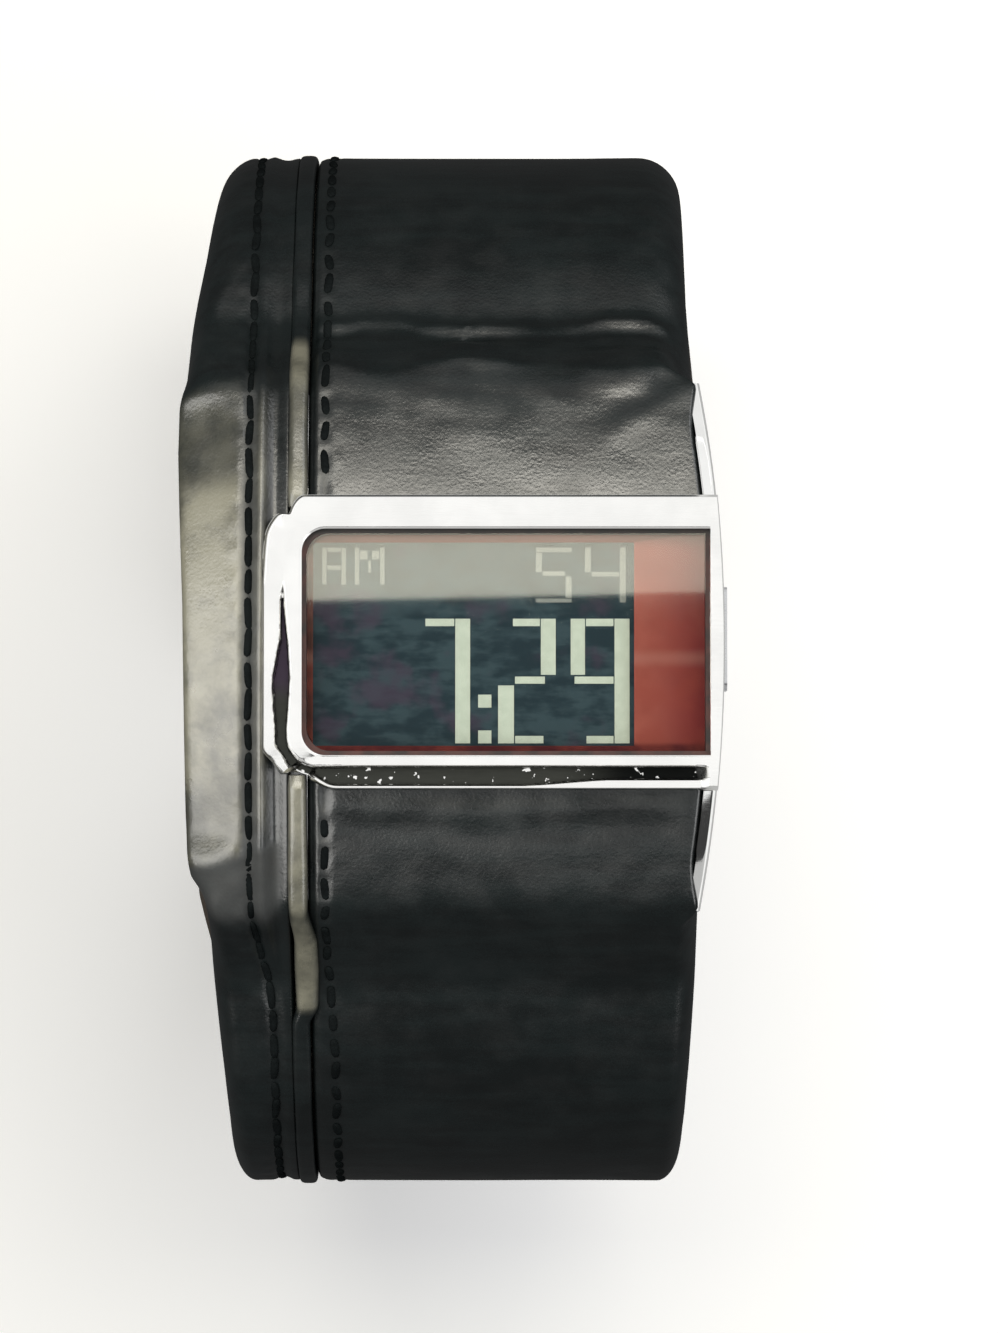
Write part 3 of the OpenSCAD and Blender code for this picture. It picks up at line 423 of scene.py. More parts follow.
def rubbed(s, x):
    """How far the leather is painted pale, 0 to 1: the side over the case, down to a slanting end,
    with wear and a painted sheen of the light that falls there, and the ridge beside the left row of
    stitches, where it is a painted highlight."""
    less_low = 1 - 0.45 * smooth(s, -7.5, -11)
    less_high = 0.3 * smooth(s, 19.5, 17) + 0.7 * smooth(s, 12.5, 10)
    # painted sheen and wear on the side over the case, down to the slanting end
    reach = smooth(s, pale_end(x) - 0.4, pale_end(x) + 0.4) * less_low * less_high
    side = smooth(x, left_row(s) - 0.3, left_row(s) - 0.75)
    # painted highlight along the ridge beside the left row of stitches
    ridge = bell(x, left_row(s) + 0.85, 0.3) * smooth(s, 18.5, 15) * smooth(s, -14, -10)
    return side * reach + 0.6 * ridge


def dull(s, x):
    """How far the leather has lost its gloss: just beyond the slanting end of the pale side, and
    down in the rows of stitches beside the case."""
    rows = np.maximum(bell(x, left_row(s) + 0.05, 0.42), 0.4 * bell(x, right_row(s), 0.4))
    beyond = smooth(x, -11.3, -12.3) * smooth(s, pale_end(x) + 0.3, pale_end(x) - 0.6)
    return np.maximum(beyond * smooth(s, -21, -18), rows * smooth(np.abs(s), 21, 17))


print("rubbed at the middle of the side:", round(float(rubbed(0.0, -17.0)), 2))

# %% [markdown]
# A panel of leather is built across in three runs of columns: up its left edge, over its face and
# down its right edge. An edge is a quarter of an ellipse that ends at the lining. Beside the case
# the left edge is another curve: a wall, a rolled shoulder and the slope up to the crest, and the
# two are mixed by how far the case still reaches.
# %% A panel of leather
EDGE_STEPS, SIDE_STEPS = 13, 25        # columns on a rounded edge, and on the side over the case
WALL_SHARE = 0.35                      # share of the side's columns that climb its wall


def panel(line, x0, x1, left, right, spread, columns, flange=None):
    """Outer and inner grid of a panel. left and right are (width, depth) of the edge's quarter
    ellipse at each point of the line: x = edge + w (1 - cos t), depth = D (1 - sin t). Between
    them x runs as the power spread of a share, which sets the columns closer on the left. flange
    says how far the left edge is the side over the case instead, at each point of the line."""
    half = (x1 - x0) / 2
    steps = EDGE_STEPS if flange is None else SIDE_STEPS
    quarter, quarter_r = np.linspace(0, np.pi / 2, steps), np.linspace(np.pi / 2, 0, EDGE_STEPS)
    s = line.s[:, None]
    wl, wr = [np.minimum(side[0], half * 0.98)[:, None] for side in (left, right)]
    dl, dr = left[1][:, None], right[1][:, None]
    xl = x0[:, None] + wl * (1 - np.cos(quarter))
    xr = x1[:, None] - wr * (1 - np.cos(quarter_r))
    down_l, down_r = dl * (1 - np.sin(quarter)), dr * (1 - np.sin(quarter_r))
    if flange is not None:
        k = np.linspace(0, 1, steps)
        u = np.clip((k - WALL_SHARE) / (1 - WALL_SHARE), 0, 1) ** 1.5
        side_x = x0[:, None] + (CREST_X + 0.5 - x0[:, None]) * u
        shoulder = flange_fall(s, side_x) + 0.3 * np.exp(-u / 0.04)
        wall = dl + (shoulder[:, :1] - dl) * k / WALL_SHARE
        side_down = np.where(k < WALL_SHARE, wall, shoulder)
        xl = xl + (side_x - xl) * flange[:, None]
        down_l = down_l + (side_down - down_l) * flange[:, None]
    xm = xl[:, -1:] + (xr[:, :1] - xl[:, -1:]) * np.linspace(0, 1, columns)[1:-1] ** spread
    down_m = np.zeros_like(xm) if flange is None else flange_fall(s, xm)
    x, down = np.concatenate([xl, xm, xr], 1), np.concatenate([down_l, down_m, down_r], 1)
    smooth_below = 1.0 if flange is None else 2.6
    outer = line.at(s, x, relief(s, x) * np.clip(1 - down / smooth_below, 0, 1) - down)

    column = np.arange(x.shape[1])
    deepest = np.where(column < steps, dl, np.where(column >= len(column) - EDGE_STEPS, dr, np.inf))
    inside_x = np.clip(x, np.minimum(x0 + UPPER_T * 0.9, x0 + half)[:, None],
                       np.maximum(x1 - UPPER_T * 0.9, x1 - half)[:, None])
    inner = line.at(s, inside_x, -np.minimum(np.maximum(down, 0) + UPPER_T, np.maximum(deepest, UPPER_T)))
    # the marks carry the painted pale (wear and painted sheen) and the dull places to the material
    marks = {mark.__name__: np.concatenate([mark(s, x).reshape(-1), np.zeros(x.size)])
             for mark in (rubbed, dull)}
    return outer, inner, marks

# %% [markdown]
# The outer leather is three such panels. The left one runs the whole length in one piece, because
# the side of the case is wrapped in it; right of the welt the frame parts the leather into one
# panel at 12 o'clock and one at 6 o'clock. Their free edges are soft and wide where the padding is
# thick, narrow down at the buckle, and tight beside the bare flank.
# %% Panels of the outer leather
case_share = smooth(OUTER.s, 23, 17) * smooth(-OUTER.s, 18.6, 14.4)
low_down = smooth(OUTER.p[:, 1], 24, 14)
edge_wl = (1.6 + 2.4 * smooth(OUTER.s, 24, 36)) * (1 - low_down) + 0.6 * low_down
edge_wr = np.where(OUTER.s > 0, 3.0, 1.6) * (1 - low_down) + 0.6 * low_down
beside_case = smooth(np.abs(OUTER.s), 20.5, 18.2)
edge_wr = edge_wr + (0.45 - edge_wr) * beside_case
right_depth = edge_depth + (UPPER_T - edge_depth) * beside_case
ROLL_W = 0.3
WINDOW_Y = 8.45                        # the leather ends under the frame, this far from the middle


def outer_panel(name, replaced, keep, x0, x1, spread, columns, at_left=False):
    """One panel between x0 and x1, cut to the strap's edges. Its free side, the left or the right
    one, gets the strap's rounded edge; the side at the welt gets a small roll down to the
    leather's own thickness."""
    x0, x1 = np.clip(x0, left_edge, right_edge), np.clip(x1, left_edge, right_edge)
    keep = keep & (x1 - x0 > 0.02)
    roll = np.full(keep.sum(), ROLL_W), np.full(keep.sum(), UPPER_T)
    left = (edge_wl[keep], edge_depth[keep]) if at_left else roll
    right = roll if at_left else (edge_wr[keep], right_depth[keep])
    outer, inner, marks = panel(OUTER.part(keep), x0[keep], x1[keep], left, right, spread, columns,
                                flange=case_share[keep] if at_left else None)
    return make_piece(name, *shell(outer, inner), "cuff_leather", "watch", replaced, marks)


everywhere, on_top = np.ones(len(OUTER.s), bool), OUTER.p[:, 1] > WIDE_Z
above = (OUTER.s > 0) & ~((OUTER.p[:, 0] < WINDOW_Y) & on_top)
below = (OUTER.s < 0) & ~((OUTER.p[:, 0] > -WINDOW_Y) & on_top)
welt_left, welt_right = [np.full_like(left_edge, WELT_X + side * WELT_W / 2) for side in (-1, 1)]
cuff_left = outer_panel("cuff_left", ["upper_left"], everywhere, left_edge, welt_left, 1.0, 36, at_left=True)
cuff_top = outer_panel("cuff_top", ["upper_top"], above, welt_right, right_edge, 1.6, 66)
cuff_bottom = outer_panel("cuff_bottom", ["upper_bottom"], below, welt_right, right_edge, 1.6, 66)

# %% [markdown]
# The welt is a strip of leather folded over a cord and caught in the seam. A tube along the seam
# would do, but half of it would be hidden, so only its upper half is made, as a shell. It runs
# along the outer line, is low near the buckle, where it would be in the way, and ends at the frame.
# %% Welt
WELT_RISE, FRAME_HALF = 0.6, 9.9       # height of the cord, and half the frame's length in Y


def welt(name, keep, replaced):
    """Half-round cord: height h sqrt(1 - u^4) over the outer face across its width, u in -1..1,
    with its foot 0.25 mm down in the seam."""
    beyond = np.abs(OUTER.p[:, 0]) - np.where(OUTER.s > 0, 9.2, 8.7)
    off_frame = np.maximum(beyond, WIDE_Z - OUTER.p[:, 1]) > 0
    keep = keep & (left_edge < WELT_X - 0.1) & off_frame
    line = OUTER.part(keep)
    s, leftmost = line.s[:, None], left_edge[keep][:, None] + 0.02
    high = smooth(line.p[:, 1], 11, 17)[:, None] * ~tail_part(OUTER)[keep][:, None]
    high = high * (1 - 0.6 * smooth(np.abs(s), 26, 34))
    high = high * (1 - 0.8 * smooth(s, -9.9, -8.9) * (s < 0)) * (1 - 0.6 * smooth(s, 9.9, 9.3) * (s > 0))
    swollen = smooth(-s, 18.5, 22) * smooth(-s, 29.5, 28)
    broad = 0.66 + 0.14 * swollen + 0.03 * np.sin(0.7 * s)
    u = np.sin(np.linspace(-np.pi / 2, np.pi / 2, 15))
    x = np.maximum(WELT_X - 0.12 + 0.45 * swollen + (0.55 + (broad - 0.55) * high) * u, leftmost)
    top = (WELT_RISE - 0.1 + 0.04 * np.sin(1.3 * s + 1) + 0.25) * (1 - u ** 4) ** 0.5 * high - 0.25 * high
    inner_x = np.maximum(WELT_X + 0.5 * u, leftmost)
    grids = line.at(s, x, top), line.at(s, inner_x, np.full_like(x, -UPPER_T))
    # painted highlight: the top of the cord is painted pale along most of its length, less at one place at 6
    # o'clock
    pale = smooth(s, 23.6, 22) * smooth(s, -28.3, -27.9) * np.clip(1 - u ** 4, 0, 1) ** 0.5 * 0.85
    pale = pale * (1 - 0.55 * bell(s, -18.8, 0.5))
    return make_piece(name, *shell(*grids), "cuff_leather", "watch", replaced, crease=60,
                      marks={"rubbed": np.concatenate([pale.reshape(-1), np.zeros(x.size)])})


welt_top = welt("welt_cord_top", OUTER.s > 0, ["welt_top"])
welt_bottom = welt("welt_cord_bottom", OUTER.s < 0, ["welt_bottom"])

# %% [markdown]
# A stitch is a short bar of waxed thread that dips into the leather at both ends. There are well
# over a hundred of them. Each could be its own object, but all of a row are made at once: one
# bar's points are added to the row's places, and the ring's line turns them into the frame. Few
# faces each, because nobody sees more.
# %% Stitches
RINGS, AROUND = 7, 8


def stitches(name, keep, row, half=0.76):
    """Bars of thread at the row's places for which keep holds; half is half a bar's length. Along
    a bar, v in -1..1, its rings are sqrt(1 - v^4) as thick as the middle one. Each bar is a little
    longer or shorter than the next, and a little turned."""
    places = PITCH * np.arange(-60, 60)
    places = places[keep(places)]
    along = np.cos(np.linspace(np.pi, 0, RINGS))
    turn = np.linspace(0, 2 * np.pi, AROUND, endpoint=False)
    fat = np.sqrt(1 - 0.999 * along ** 4)
    uneven = np.sin(7.3 * places + 1.1)[:, None, None]
    length = half + 0.13 * np.sin(4.1 * places)[:, None, None]
    s = places[:, None, None] + 0.08 * uneven + length * along[:, None] + 0 * turn
    x = row(s) + 0.3 * fat[:, None] * np.cos(turn) + 0.1 * uneven * along[:, None]
    height = relief(s, row(s)) + 0.05 + 0.17 * fat[:, None] * np.sin(turn)
    points = OUTER.at(s, x, height).reshape(-1, 3)
    i, j = np.meshgrid(np.arange(RINGS - 1) * AROUND, np.arange(AROUND), indexing="ij")
    beside = (j + 1) % AROUND
    sides = np.stack([i + j, i + beside, i + AROUND + beside, i + AROUND + j], -1).reshape(-1, 4)
    caps = np.stack([np.arange(AROUND)[::-1], (RINGS - 1) * AROUND + np.arange(AROUND)])
    first = RINGS * AROUND * np.arange(len(places))[:, None, None]
    faces = (sides + first).reshape(-1, 4).tolist() + (caps + first).reshape(-1, AROUND).tolist()
    return make_piece(name, points, faces, "cuff_leather", "watch", crease=80)


ring_top, ring_low = OUTER.s[-1] - 12, OUTER.s[tail_part(OUTER)][-1] + 6
off_frame = FRAME_HALF + 0.9
thread_left = stitches("thread_left", lambda s: (s < ring_top) & (s > ring_low), left_row, 1.0)
thread_top = stitches("thread_right_top", lambda s: (s < ring_top) & (s > off_frame), right_row)
thread_bottom = stitches("thread_right_bottom", lambda s: (s > ring_low) & (s < -off_frame), right_row)

# %% [markdown]
# The lining is one long strip of soft leather against the wrist, from the fold at the spring bar,
# over the case back, which shows in a window, to the tip of the tail. The window could be cut, but
# rows and columns of the grid can also be moved onto its rim: then a mask of cells leaves it out.
# %% Grid of the lining
ring_inner = oval(half_turn[half_turn < 180 - BAR_A - 2.2], WRIST_W / 2, WRIST_TOP_R, WRIST_LOW_R)
inner_points = np.concatenate([tail_line(WRIST_LOW_R), ring_inner, nose_line(160, 92)])
INNER = Line.through(walk(inner_points, LEATHER_STEP, soft=0.5))
ABOVE_WRIST = 40                       # height that only the part under the case lies above
COLUMNS, WINDOW_LEFT, WINDOW_RIGHT = 44, 5, 38
back_low, back_high = (np.array(v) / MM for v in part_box("case_back"))
hole_left, hole_right, hole_y = back_low[0] - 0.05, back_high[0] + 0.05, back_high[1] + 0.05

upper = INNER.p[:, 1] > ABOVE_WRIST
hole_at = [np.interp(y, INNER.p[upper, 0], INNER.s[upper]) for y in (-hole_y, hole_y)]
row_at = np.sort(np.concatenate([INNER.s[np.abs(INNER.s) > 0.2], hole_at]))
row_p, row_n = [np.stack([np.interp(row_at, INNER.s, v[:, k]) for k in (0, 1)], 1)
                for v in (INNER.p, INNER.n)]
row_line = Line(row_p, row_n, row_at)
row_upper = row_p[:, 1] > ABOVE_WRIST

x0, x1 = edges(row_line, 0.3)
x0, x1 = x0 + 0.45, x1 - 0.15
k = np.linspace(-1, 1, COLUMNS)
across = (x0 + x1)[:, None] / 2 + (x1 - x0)[:, None] / 2 * np.sign(k) * np.abs(k) ** 0.9
near = smooth(np.abs(row_p[:, 0]), hole_y + 4, hole_y)[:, None] * row_upper[:, None]
for column, target in ((WINDOW_LEFT, hole_left), (WINDOW_RIGHT, hole_right)):
    pull = np.clip(1 - np.abs(np.arange(COLUMNS) - column) / 5, 0, 1)
    across = across + (target - across[:, column:column + 1]) * near * pull
print("window in the lining from x", round(float(hole_left), 2), "to", round(float(hole_right), 2), "mm")

# %% Lining
edge = np.clip(np.minimum(across - x0[:, None], x1[:, None] - across) / 0.35, 0, 1)
in_fold = row_at > INNER.s[-1] - 4.5
thick = np.where(in_fold, NOSE_R - TUBE_R - 0.1, LINING_T)[:, None]
inside = row_line.at(row_at[:, None], across, 0.25 * (1 - np.sqrt(1 - (1 - edge) ** 2)))
outside = row_line.at(row_at[:, None], across, thick - 0.02 * edge)
keep = np.ones((len(row_at) - 1, COLUMNS - 1), bool)
middle_y = (row_p[1:, 0] + row_p[:-1, 0]) / 2
window = (np.abs(middle_y) < hole_y - 0.001) & row_upper[1:]
keep[np.ix_(window, np.arange(WINDOW_LEFT, WINDOW_RIGHT))] = False
lining = make_piece("lining_strip", *shell(outside, inside, keep), "lining_leather", "watch", ["lining"])

# %% [markdown]
# The padding fills the room between the two leathers beyond the case, and only gives the strap its
# thickness: felt that nobody sees, unless the leather were too short for it. So it stays a little
# inside both leathers and their edges, and narrows as the strap does.
# %% Padding
PAD_GAP, PAD_IN, PAD_HALF = 0.05, 1.25, 15.2


def padding_piece(name, side, replaced):
    """Filler PAD_GAP away from both leathers and PAD_IN inside the strap's edges, never wider than
    PAD_HALF each way; its sides are rounded by sqrt(1 - 0.9 k^6), with k from -1 to 1 across."""
    beyond_case = (np.sign(OUTER.s) == side) & (np.abs(OUTER.p[:, 0]) > HALF_L + 1.5)
    keep = beyond_case & (OUTER.p[:, 1] > 17.2) & (edge_depth > 1.5)
    line = OUTER.part(keep)
    k = np.linspace(-1, 1, 15)
    low = np.maximum(left_edge[keep] + PAD_IN, -PAD_HALF)
    high = np.minimum(right_edge[keep] - PAD_IN, PAD_HALF)
    x = (low + high)[:, None] / 2 + k * (high - low)[:, None] / 2
    bulge = np.sqrt(1 - 0.9 * k ** 6)
    top = -(UPPER_T + PAD_GAP) * np.ones_like(x)
    foot = -np.maximum(edge_depth[keep][:, None] - PAD_GAP, UPPER_T + 2 * PAD_GAP) * np.ones_like(x)
    middle = (top + foot) / 2
    grids = [line.at(line.s[:, None], x, middle + (face - middle) * bulge) for face in (top, foot)]
    return make_piece(name, *shell(*grids), "felt", "watch", replaced)


padding_12 = padding_piece("padding_strip_top", 1, ["padding_top"])
padding_6 = padding_piece("padding_strip_bottom", -1, ["padding_bottom"])

# %% [markdown]
# The tail has four punched holes, and both ends have a slot for the tang. Punched leather has a
# sharp rim, so the holes are cut with a Boolean from the finished shells.
# %% Cutting with a Boolean
def bore(piece, cutters):
    """Takes the cutters (points in mm, faces) out of a piece and keeps the result as its mesh."""
    for points, faces in cutters:
        mesh = bpy.data.meshes.new("cutter")
        mesh.from_pydata((points * MM).tolist(), [], faces)
        cutter = bpy.data.objects.new("cutter", mesh)
        bpy.context.scene.collection.objects.link(cutter)
        cut = piece.modifiers.new("cut", "BOOLEAN")
        cut.operation, cut.solver, cut.object = "DIFFERENCE", "EXACT", cutter
        bpy.context.view_layer.update()
        cut_piece = piece.evaluated_get(bpy.context.evaluated_depsgraph_get())
        result = bpy.data.meshes.new_from_object(cut_piece)
        piece.modifiers.remove(cut)
        piece.data = result
        bpy.data.objects.remove(cutter)
    piece.data.set_sharp_from_angle(angle=np.radians(40))
    print(piece.name, "bored", len(cutters), "times,", len(piece.data.polygons), "faces")

# %% Holes
HOLE_R, HOLE_RHO, HOLE_SIDES = 1.0, (40.0, 49.0), 40


def drum(a):
    """A cylinder along the direction a (degrees from straight down), through both leathers."""
    turn = np.linspace(0, 2 * np.pi, HOLE_SIDES, endpoint=False)
    down, over = low_arc(1.0, a) - [0, LOW_C], low_arc(1.0, a + 90) - [0, LOW_C]
    x, up = HOLE_R * np.cos(turn), HOLE_R * np.sin(turn)
    rings = [np.stack([x, r * down[0] + up * over[0], LOW_C + r * down[1] + up * over[1]], 1)
             for r in HOLE_RHO]
    low, after = np.arange(HOLE_SIDES), (np.arange(HOLE_SIDES) + 1) % HOLE_SIDES
    high = HOLE_SIDES + low
    walls = np.stack([low, after, HOLE_SIDES + after, high], 1)
    return np.concatenate(rings), walls.tolist() + [low[::-1].tolist(), high.tolist()]


def block(low, high):
    """A box between two corners."""
    pick = np.indices((2, 2, 2)).reshape(3, -1).T
    faces = [[0, 1, 3, 2], [4, 6, 7, 5], [0, 4, 5, 1], [2, 3, 7, 6], [0, 2, 6, 4], [1, 5, 7, 3]]
    return np.where(pick, high, low).astype(float), faces


TANG_HALF = 1.3
punched = [drum(a) for a in (10.5, 17.5, 24.5, 31.5)]
tail_slot = block([-TANG_HALF, -0.8, -1], [TANG_HALF, 5.2, 5.2])
tail_slot_low = block([-TANG_HALF, -0.8, -1], [TANG_HALF, 5.2, 2.9])
fold_slot = block([-TANG_HALF, 3.2, 2.9], [TANG_HALF, 8.2, 8])
bore(cuff_bottom, punched + [tail_slot])
bore(lining, punched + [tail_slot_low, fold_slot])
bore(cuff_top, [fold_slot])

# %% [markdown]
# A keeper is a leather loop round both ends of the strap. A rounded section is carried round a
# rounded rectangle; both are closed curves, so the result is a ring without a seam.
# %% Keepers
KEEPER_X, KEEPER_RHO, KEEPER_T, KEEPER_L = 13.2, 46.7, 1.0, 4.6
PATH_POINTS, SECTION_POINTS = 160, 24


def signed_power(v, power):
    """sign(v) |v|^power: it makes a superellipse of a circle's cosine and sine."""
    return np.sign(v) * np.abs(v) ** power


def ring_faces(n, m):
    """Quads of a grid of n by m points that is closed in both directions."""
    i, j = np.meshgrid(np.arange(n), np.arange(m), indexing="ij")
    row, row_after, after = i * m, (i + 1) % n * m, (j + 1) % m
    return np.stack([row + j, row_after + j, row_after + after, row + after], -1).reshape(-1, 4)


def keeper(name, middle, rho_in, body, replaced):
    """Path: a superellipse, nearly a rectangle, across X and radius. Section: another one across
    wall and length. The turn along the strap gives the length: angle = length / outer radius."""
    path = np.linspace(0, 2 * np.pi, PATH_POINTS, endpoint=False)
    section = np.linspace(0, 2 * np.pi, SECTION_POINTS, endpoint=False)
    path_x, path_r = signed_power(np.cos(path), 0.22), signed_power(np.sin(path), 0.22)
    half_r, mid_r = (KEEPER_RHO - rho_in + KEEPER_T) / 2, (KEEPER_RHO + rho_in) / 2
    grow = KEEPER_T / 2 * signed_power(np.cos(section), 0.45)
    x = path_x[:, None] * (KEEPER_X + KEEPER_T / 2 + grow)
    r = mid_r + path_r[:, None] * (half_r + grow)
    half_angle = KEEPER_L / 2 / KEEPER_RHO
    a = np.radians(middle) + signed_power(np.sin(section), 0.35) * half_angle * np.ones_like(x)
    points = np.stack([x, r * np.sin(a), LOW_C - r * np.cos(a)], -1).reshape(-1, 3)
    faces = ring_faces(PATH_POINTS, SECTION_POINTS).tolist()
    return make_piece(name, points, faces, "cuff_leather", body, replaced, crease=60)


keeper_sewn = keeper("keeper_sewn", 12.6, 42.0, "watch", ["fixed_keeper"])
keeper_loose = keeper("keeper_loose", 22.0, 41.8, "keeper", ["free_keeper"])

# %% [markdown]
# The frame round the glass is the brightest thing on the watch, so its section matters: a rim
# against the glass, a cove, and a bead outside. A profile swept round the window would be the same
# everywhere, and this one isn't. So both outlines are drawn with matching points, a share runs
# from the window's edge to the frame's outer edge, and the height is a formula of that share and
# of the place round the frame, which is a point's number counted from the right end of the
# 12 o'clock bar.
# %% Outlines of the window and the frame
WIN_X0, WIN_X1, WIN_Y, WIN_R = -10.1, 17.25, 7.6, 1.6
FRAME_X0, CORNER_R = -12.8, 2.8
BAR_POINTS, ARC_POINTS, LEFT_POINTS, RIGHT_POINTS = 90, 28, 70, 60
CORNER_AT = BAR_POINTS
LOW_BAR_AT = CORNER_AT + 2 * ARC_POINTS + LEFT_POINTS
RIGHT_AT = LOW_BAR_AT + BAR_POINTS


def flank(y):
    """X of the case's right flank: an arc."""
    return FLANK_X - (FLANK_R - np.sqrt(FLANK_R ** 2 - y ** 2))


def cover_z(y):
    """Height of the leather over the case: an arc."""
    return COVER_C + np.sqrt(COVER_R ** 2 - y ** 2)


def frame_outline(x_left, half_y, radius, x_right):
    """Top bar from the right, left corner, left side, corner, bottom bar and right side."""
    u = np.linspace(0, 1, BAR_POINTS, endpoint=False)
    v = np.linspace(0, 1, ARC_POINTS, endpoint=False) * np.pi / 2
    end, corner_x, corner_y = x_right(half_y), x_left + radius, half_y - radius
    top = np.stack([end + (corner_x - end) * u, half_y + 0 * u], 1)
    arc = np.stack([corner_x - radius * np.sin(v), corner_y + radius * np.cos(v)], 1)
    side_y = corner_y * (1 - 2 * np.linspace(0, 1, LEFT_POINTS, endpoint=False))
    side = np.stack([x_left + 0 * side_y, side_y], 1)
    arc_low = np.stack([corner_x - radius * np.cos(v), -corner_y - radius * np.sin(v)], 1)
    low = np.stack([corner_x + (end - corner_x) * u, -half_y + 0 * u], 1)
    right_y = half_y * (2 * np.linspace(0, 1, RIGHT_POINTS, endpoint=False) - 1)
    right = np.stack([x_right(right_y), right_y], 1)
    return np.concatenate([top, arc, side, arc_low, low, right])


window_line = frame_outline(WIN_X0, WIN_Y, WIN_R, lambda y: WIN_X1 + 0 * y)
plain_line = frame_outline(FRAME_X0, FRAME_HALF, CORNER_R, flank)
around = np.arange(len(plain_line))
print("outline points:", len(around), "lower bar from", LOW_BAR_AT, "right side from", RIGHT_AT)

# %% [markdown]
# Numbers from 0 to 1 say at each place what the frame is like there. inward pulls its outer edge in
# at the upper left corner, and tuck at the lower left; solid fills the cove up to one broad bar;
# leftness gives rim and bead the widths of the left side, between which slit opens the cove; and
# broken is the gap where the bead stops.
# %% How the frame changes on its way round
corner = np.clip((around - CORNER_AT) / ARC_POINTS, 0, 1)
inward = (0.5 * smooth(around, 90, 97) * smooth(around, 130, 99)
          + 0.45 * bell(corner, 0.36, 0.11) * (around > CORNER_AT)) * (around < 131)
corner_centre = np.array([FRAME_X0 + CORNER_R, FRAME_HALF - CORNER_R])
frame_line = plain_line + (corner_centre - plain_line) / CORNER_R * inward[:, None]
tuck = (0.17 * smooth(around, 187, 197) + 0.28 * smooth(around, 203, 206)) * smooth(around, 223, 212)
frame_line = frame_line + (window_line - frame_line) * tuck[:, None]

right_end = smooth(frame_line[:, 0], 16.6, 17.4) * (around > LOW_BAR_AT)
solid = np.maximum(np.maximum(smooth(around, 134, 126), right_end), around >= RIGHT_AT)
slit = smooth(around, 131, 136)
SLIT_AT = [134, 139, 146, 152, 166, 176, 185, 194, 200, 206]
LEFT_RIM = np.interp(around, SLIT_AT, [0.476, 0.45, 0.41, 0.365, 0.315, 0.35, 0.39, 0.37, 0.35, 0.34])
LEFT_BEAD = np.interp(around, SLIT_AT, [0.524, 0.48, 0.49, 0.47, 0.288, 0.32, 0.37, 0.31, 0.28, 0.22])
leftness = smooth(around, 100, 112) * smooth(around, 214, 206)
broken = smooth(around, 203, 206) * smooth(around, 217, 213)
print("the upper left corner is pulled in by up to", inward.max().round(2), "mm")

# %% Section of the frame
RIM_Z, BEAD_Z, COVE_Z, LEDGE_Z, MASK_Z = 61.7, 61.1, 60.3, 59.05, 59.4


def frame_height(share, at):
    """Height of the frame's top: a rim, a cove and a bead, mixed with the one broad bar of the
    12 o'clock side by solid. On the left the cove is a slit that opens downwards, and the bead
    ends in a claw; from the gap after it a thinner bead runs on below the glass. Widths are
    shares of the frame's full width, measured from the glass (near) and from outside (far)."""
    left, open_ = leftness[at], slit[at]
    near, far = share * (1 - tuck[at]), (1 - share) * (1 - tuck[at])
    rim_w = 0.33 * (1 - left) + left * LEFT_RIM[at]
    bead_w = (0.16 + 0.17 * smooth(at, 262, 284)) * (1 - left) + left * LEFT_BEAD[at]
    groove = 1 - left * (1 - open_)
    lean = 0.16 * (1 - left) - 0.3 * left
    across = 2.3 + 0.4 * left
    edge_in, edge_out = smooth(near, 0.06, 0.0), smooth(near, rim_w - 0.05, rim_w + 0.02)
    rim = RIM_Z - 0.05 + lean * across * (near - rim_w / 2) - 0.1 * edge_in - 0.25 * groove * edge_out
    bead_in, bead_out = smooth(far, bead_w - 0.06, bead_w + 0.01), smooth(far, 0.07, 0.0)
    bead = BEAD_Z + 0.1 + lean * across * (0.15 - far) - 0.3 * groove * bead_in - 0.5 * bead_out ** 2
    bead = bead + (COVE_Z - 0.7 - bead) * broken[at]
    deep = COVE_Z - 0.7 * broken[at] * smooth(near, 0.35, 0.45)
    grooved = np.where(near < rim_w + 0.02, rim, np.where(far < bead_w + 0.01, bead, deep))
    bar = RIM_Z - 0.05 * share - 0.3 * left * across * (share - 0.3)
    bar = bar - 0.4 * smooth(share, 0.88, 1.0) ** 2 - 0.1 * edge_in
    return grooved + (bar - grooved) * solid[at]


share, at = np.linspace(0, 1, 49), around[:, None]
height = frame_height(share, at)
# where the frame's cove is painted dark with painted shade
cove_mark = smooth(height, BEAD_Z - 0.2, COVE_Z + 0.1) * (share > 0.3) * (share < 0.95) * (1 - solid[at])
print("top of the frame from", height.min().round(2), "to", height.max().round(2), "mm")

# %% [markdown]
# Below its top the section is closed by a few corners: the outer wall down to the leather, the neck
# that holds the frame in the case, and the ledge under the glass. Each corner lies at a share of
# the way from window to frame, and at a height that is level or follows the leather.
# %% Frame
LOWER = [(1.0, "cover", 0.0), (0.4, "cover", 0.0), (0.36, "cover", -1.6), (0.02, "cover", -1.6),
         (0.02, "flat", LEDGE_Z), (-0.12, "flat", LEDGE_Z),
         (-0.12, "flat", MASK_Z - 0.01), (0.0, "flat", MASK_Z - 0.01)]


def outward(line, share):
    """X and Y at a share of the way from the window's outline to a line round the frame."""
    return [window_line[:, k:k + 1] + (line[:, k:k + 1] - window_line[:, k:k + 1]) * share for k in (0, 1)]


sections = [np.stack([*outward(frame_line, share), height], -1)]
for f, kind, level in LOWER:
    x, y = outward(frame_line if f > 0.9 else plain_line, f)
    z = cover_z(y) + level if kind == "cover" else np.full_like(y, level)
    sections.append(np.stack([x, y, z], -1))
loop = np.concatenate(sections, 1)
faces = ring_faces(*loop.shape[:2]).tolist()
marks = np.concatenate([cove_mark, np.zeros((len(around), len(LOWER)))], 1).reshape(-1)
bezel = make_piece("frame_ring", loop.reshape(-1, 3), faces, "polished_steel", "watch", ["bezel_frame"],
                   marks={"cove": marks}, crease=35)

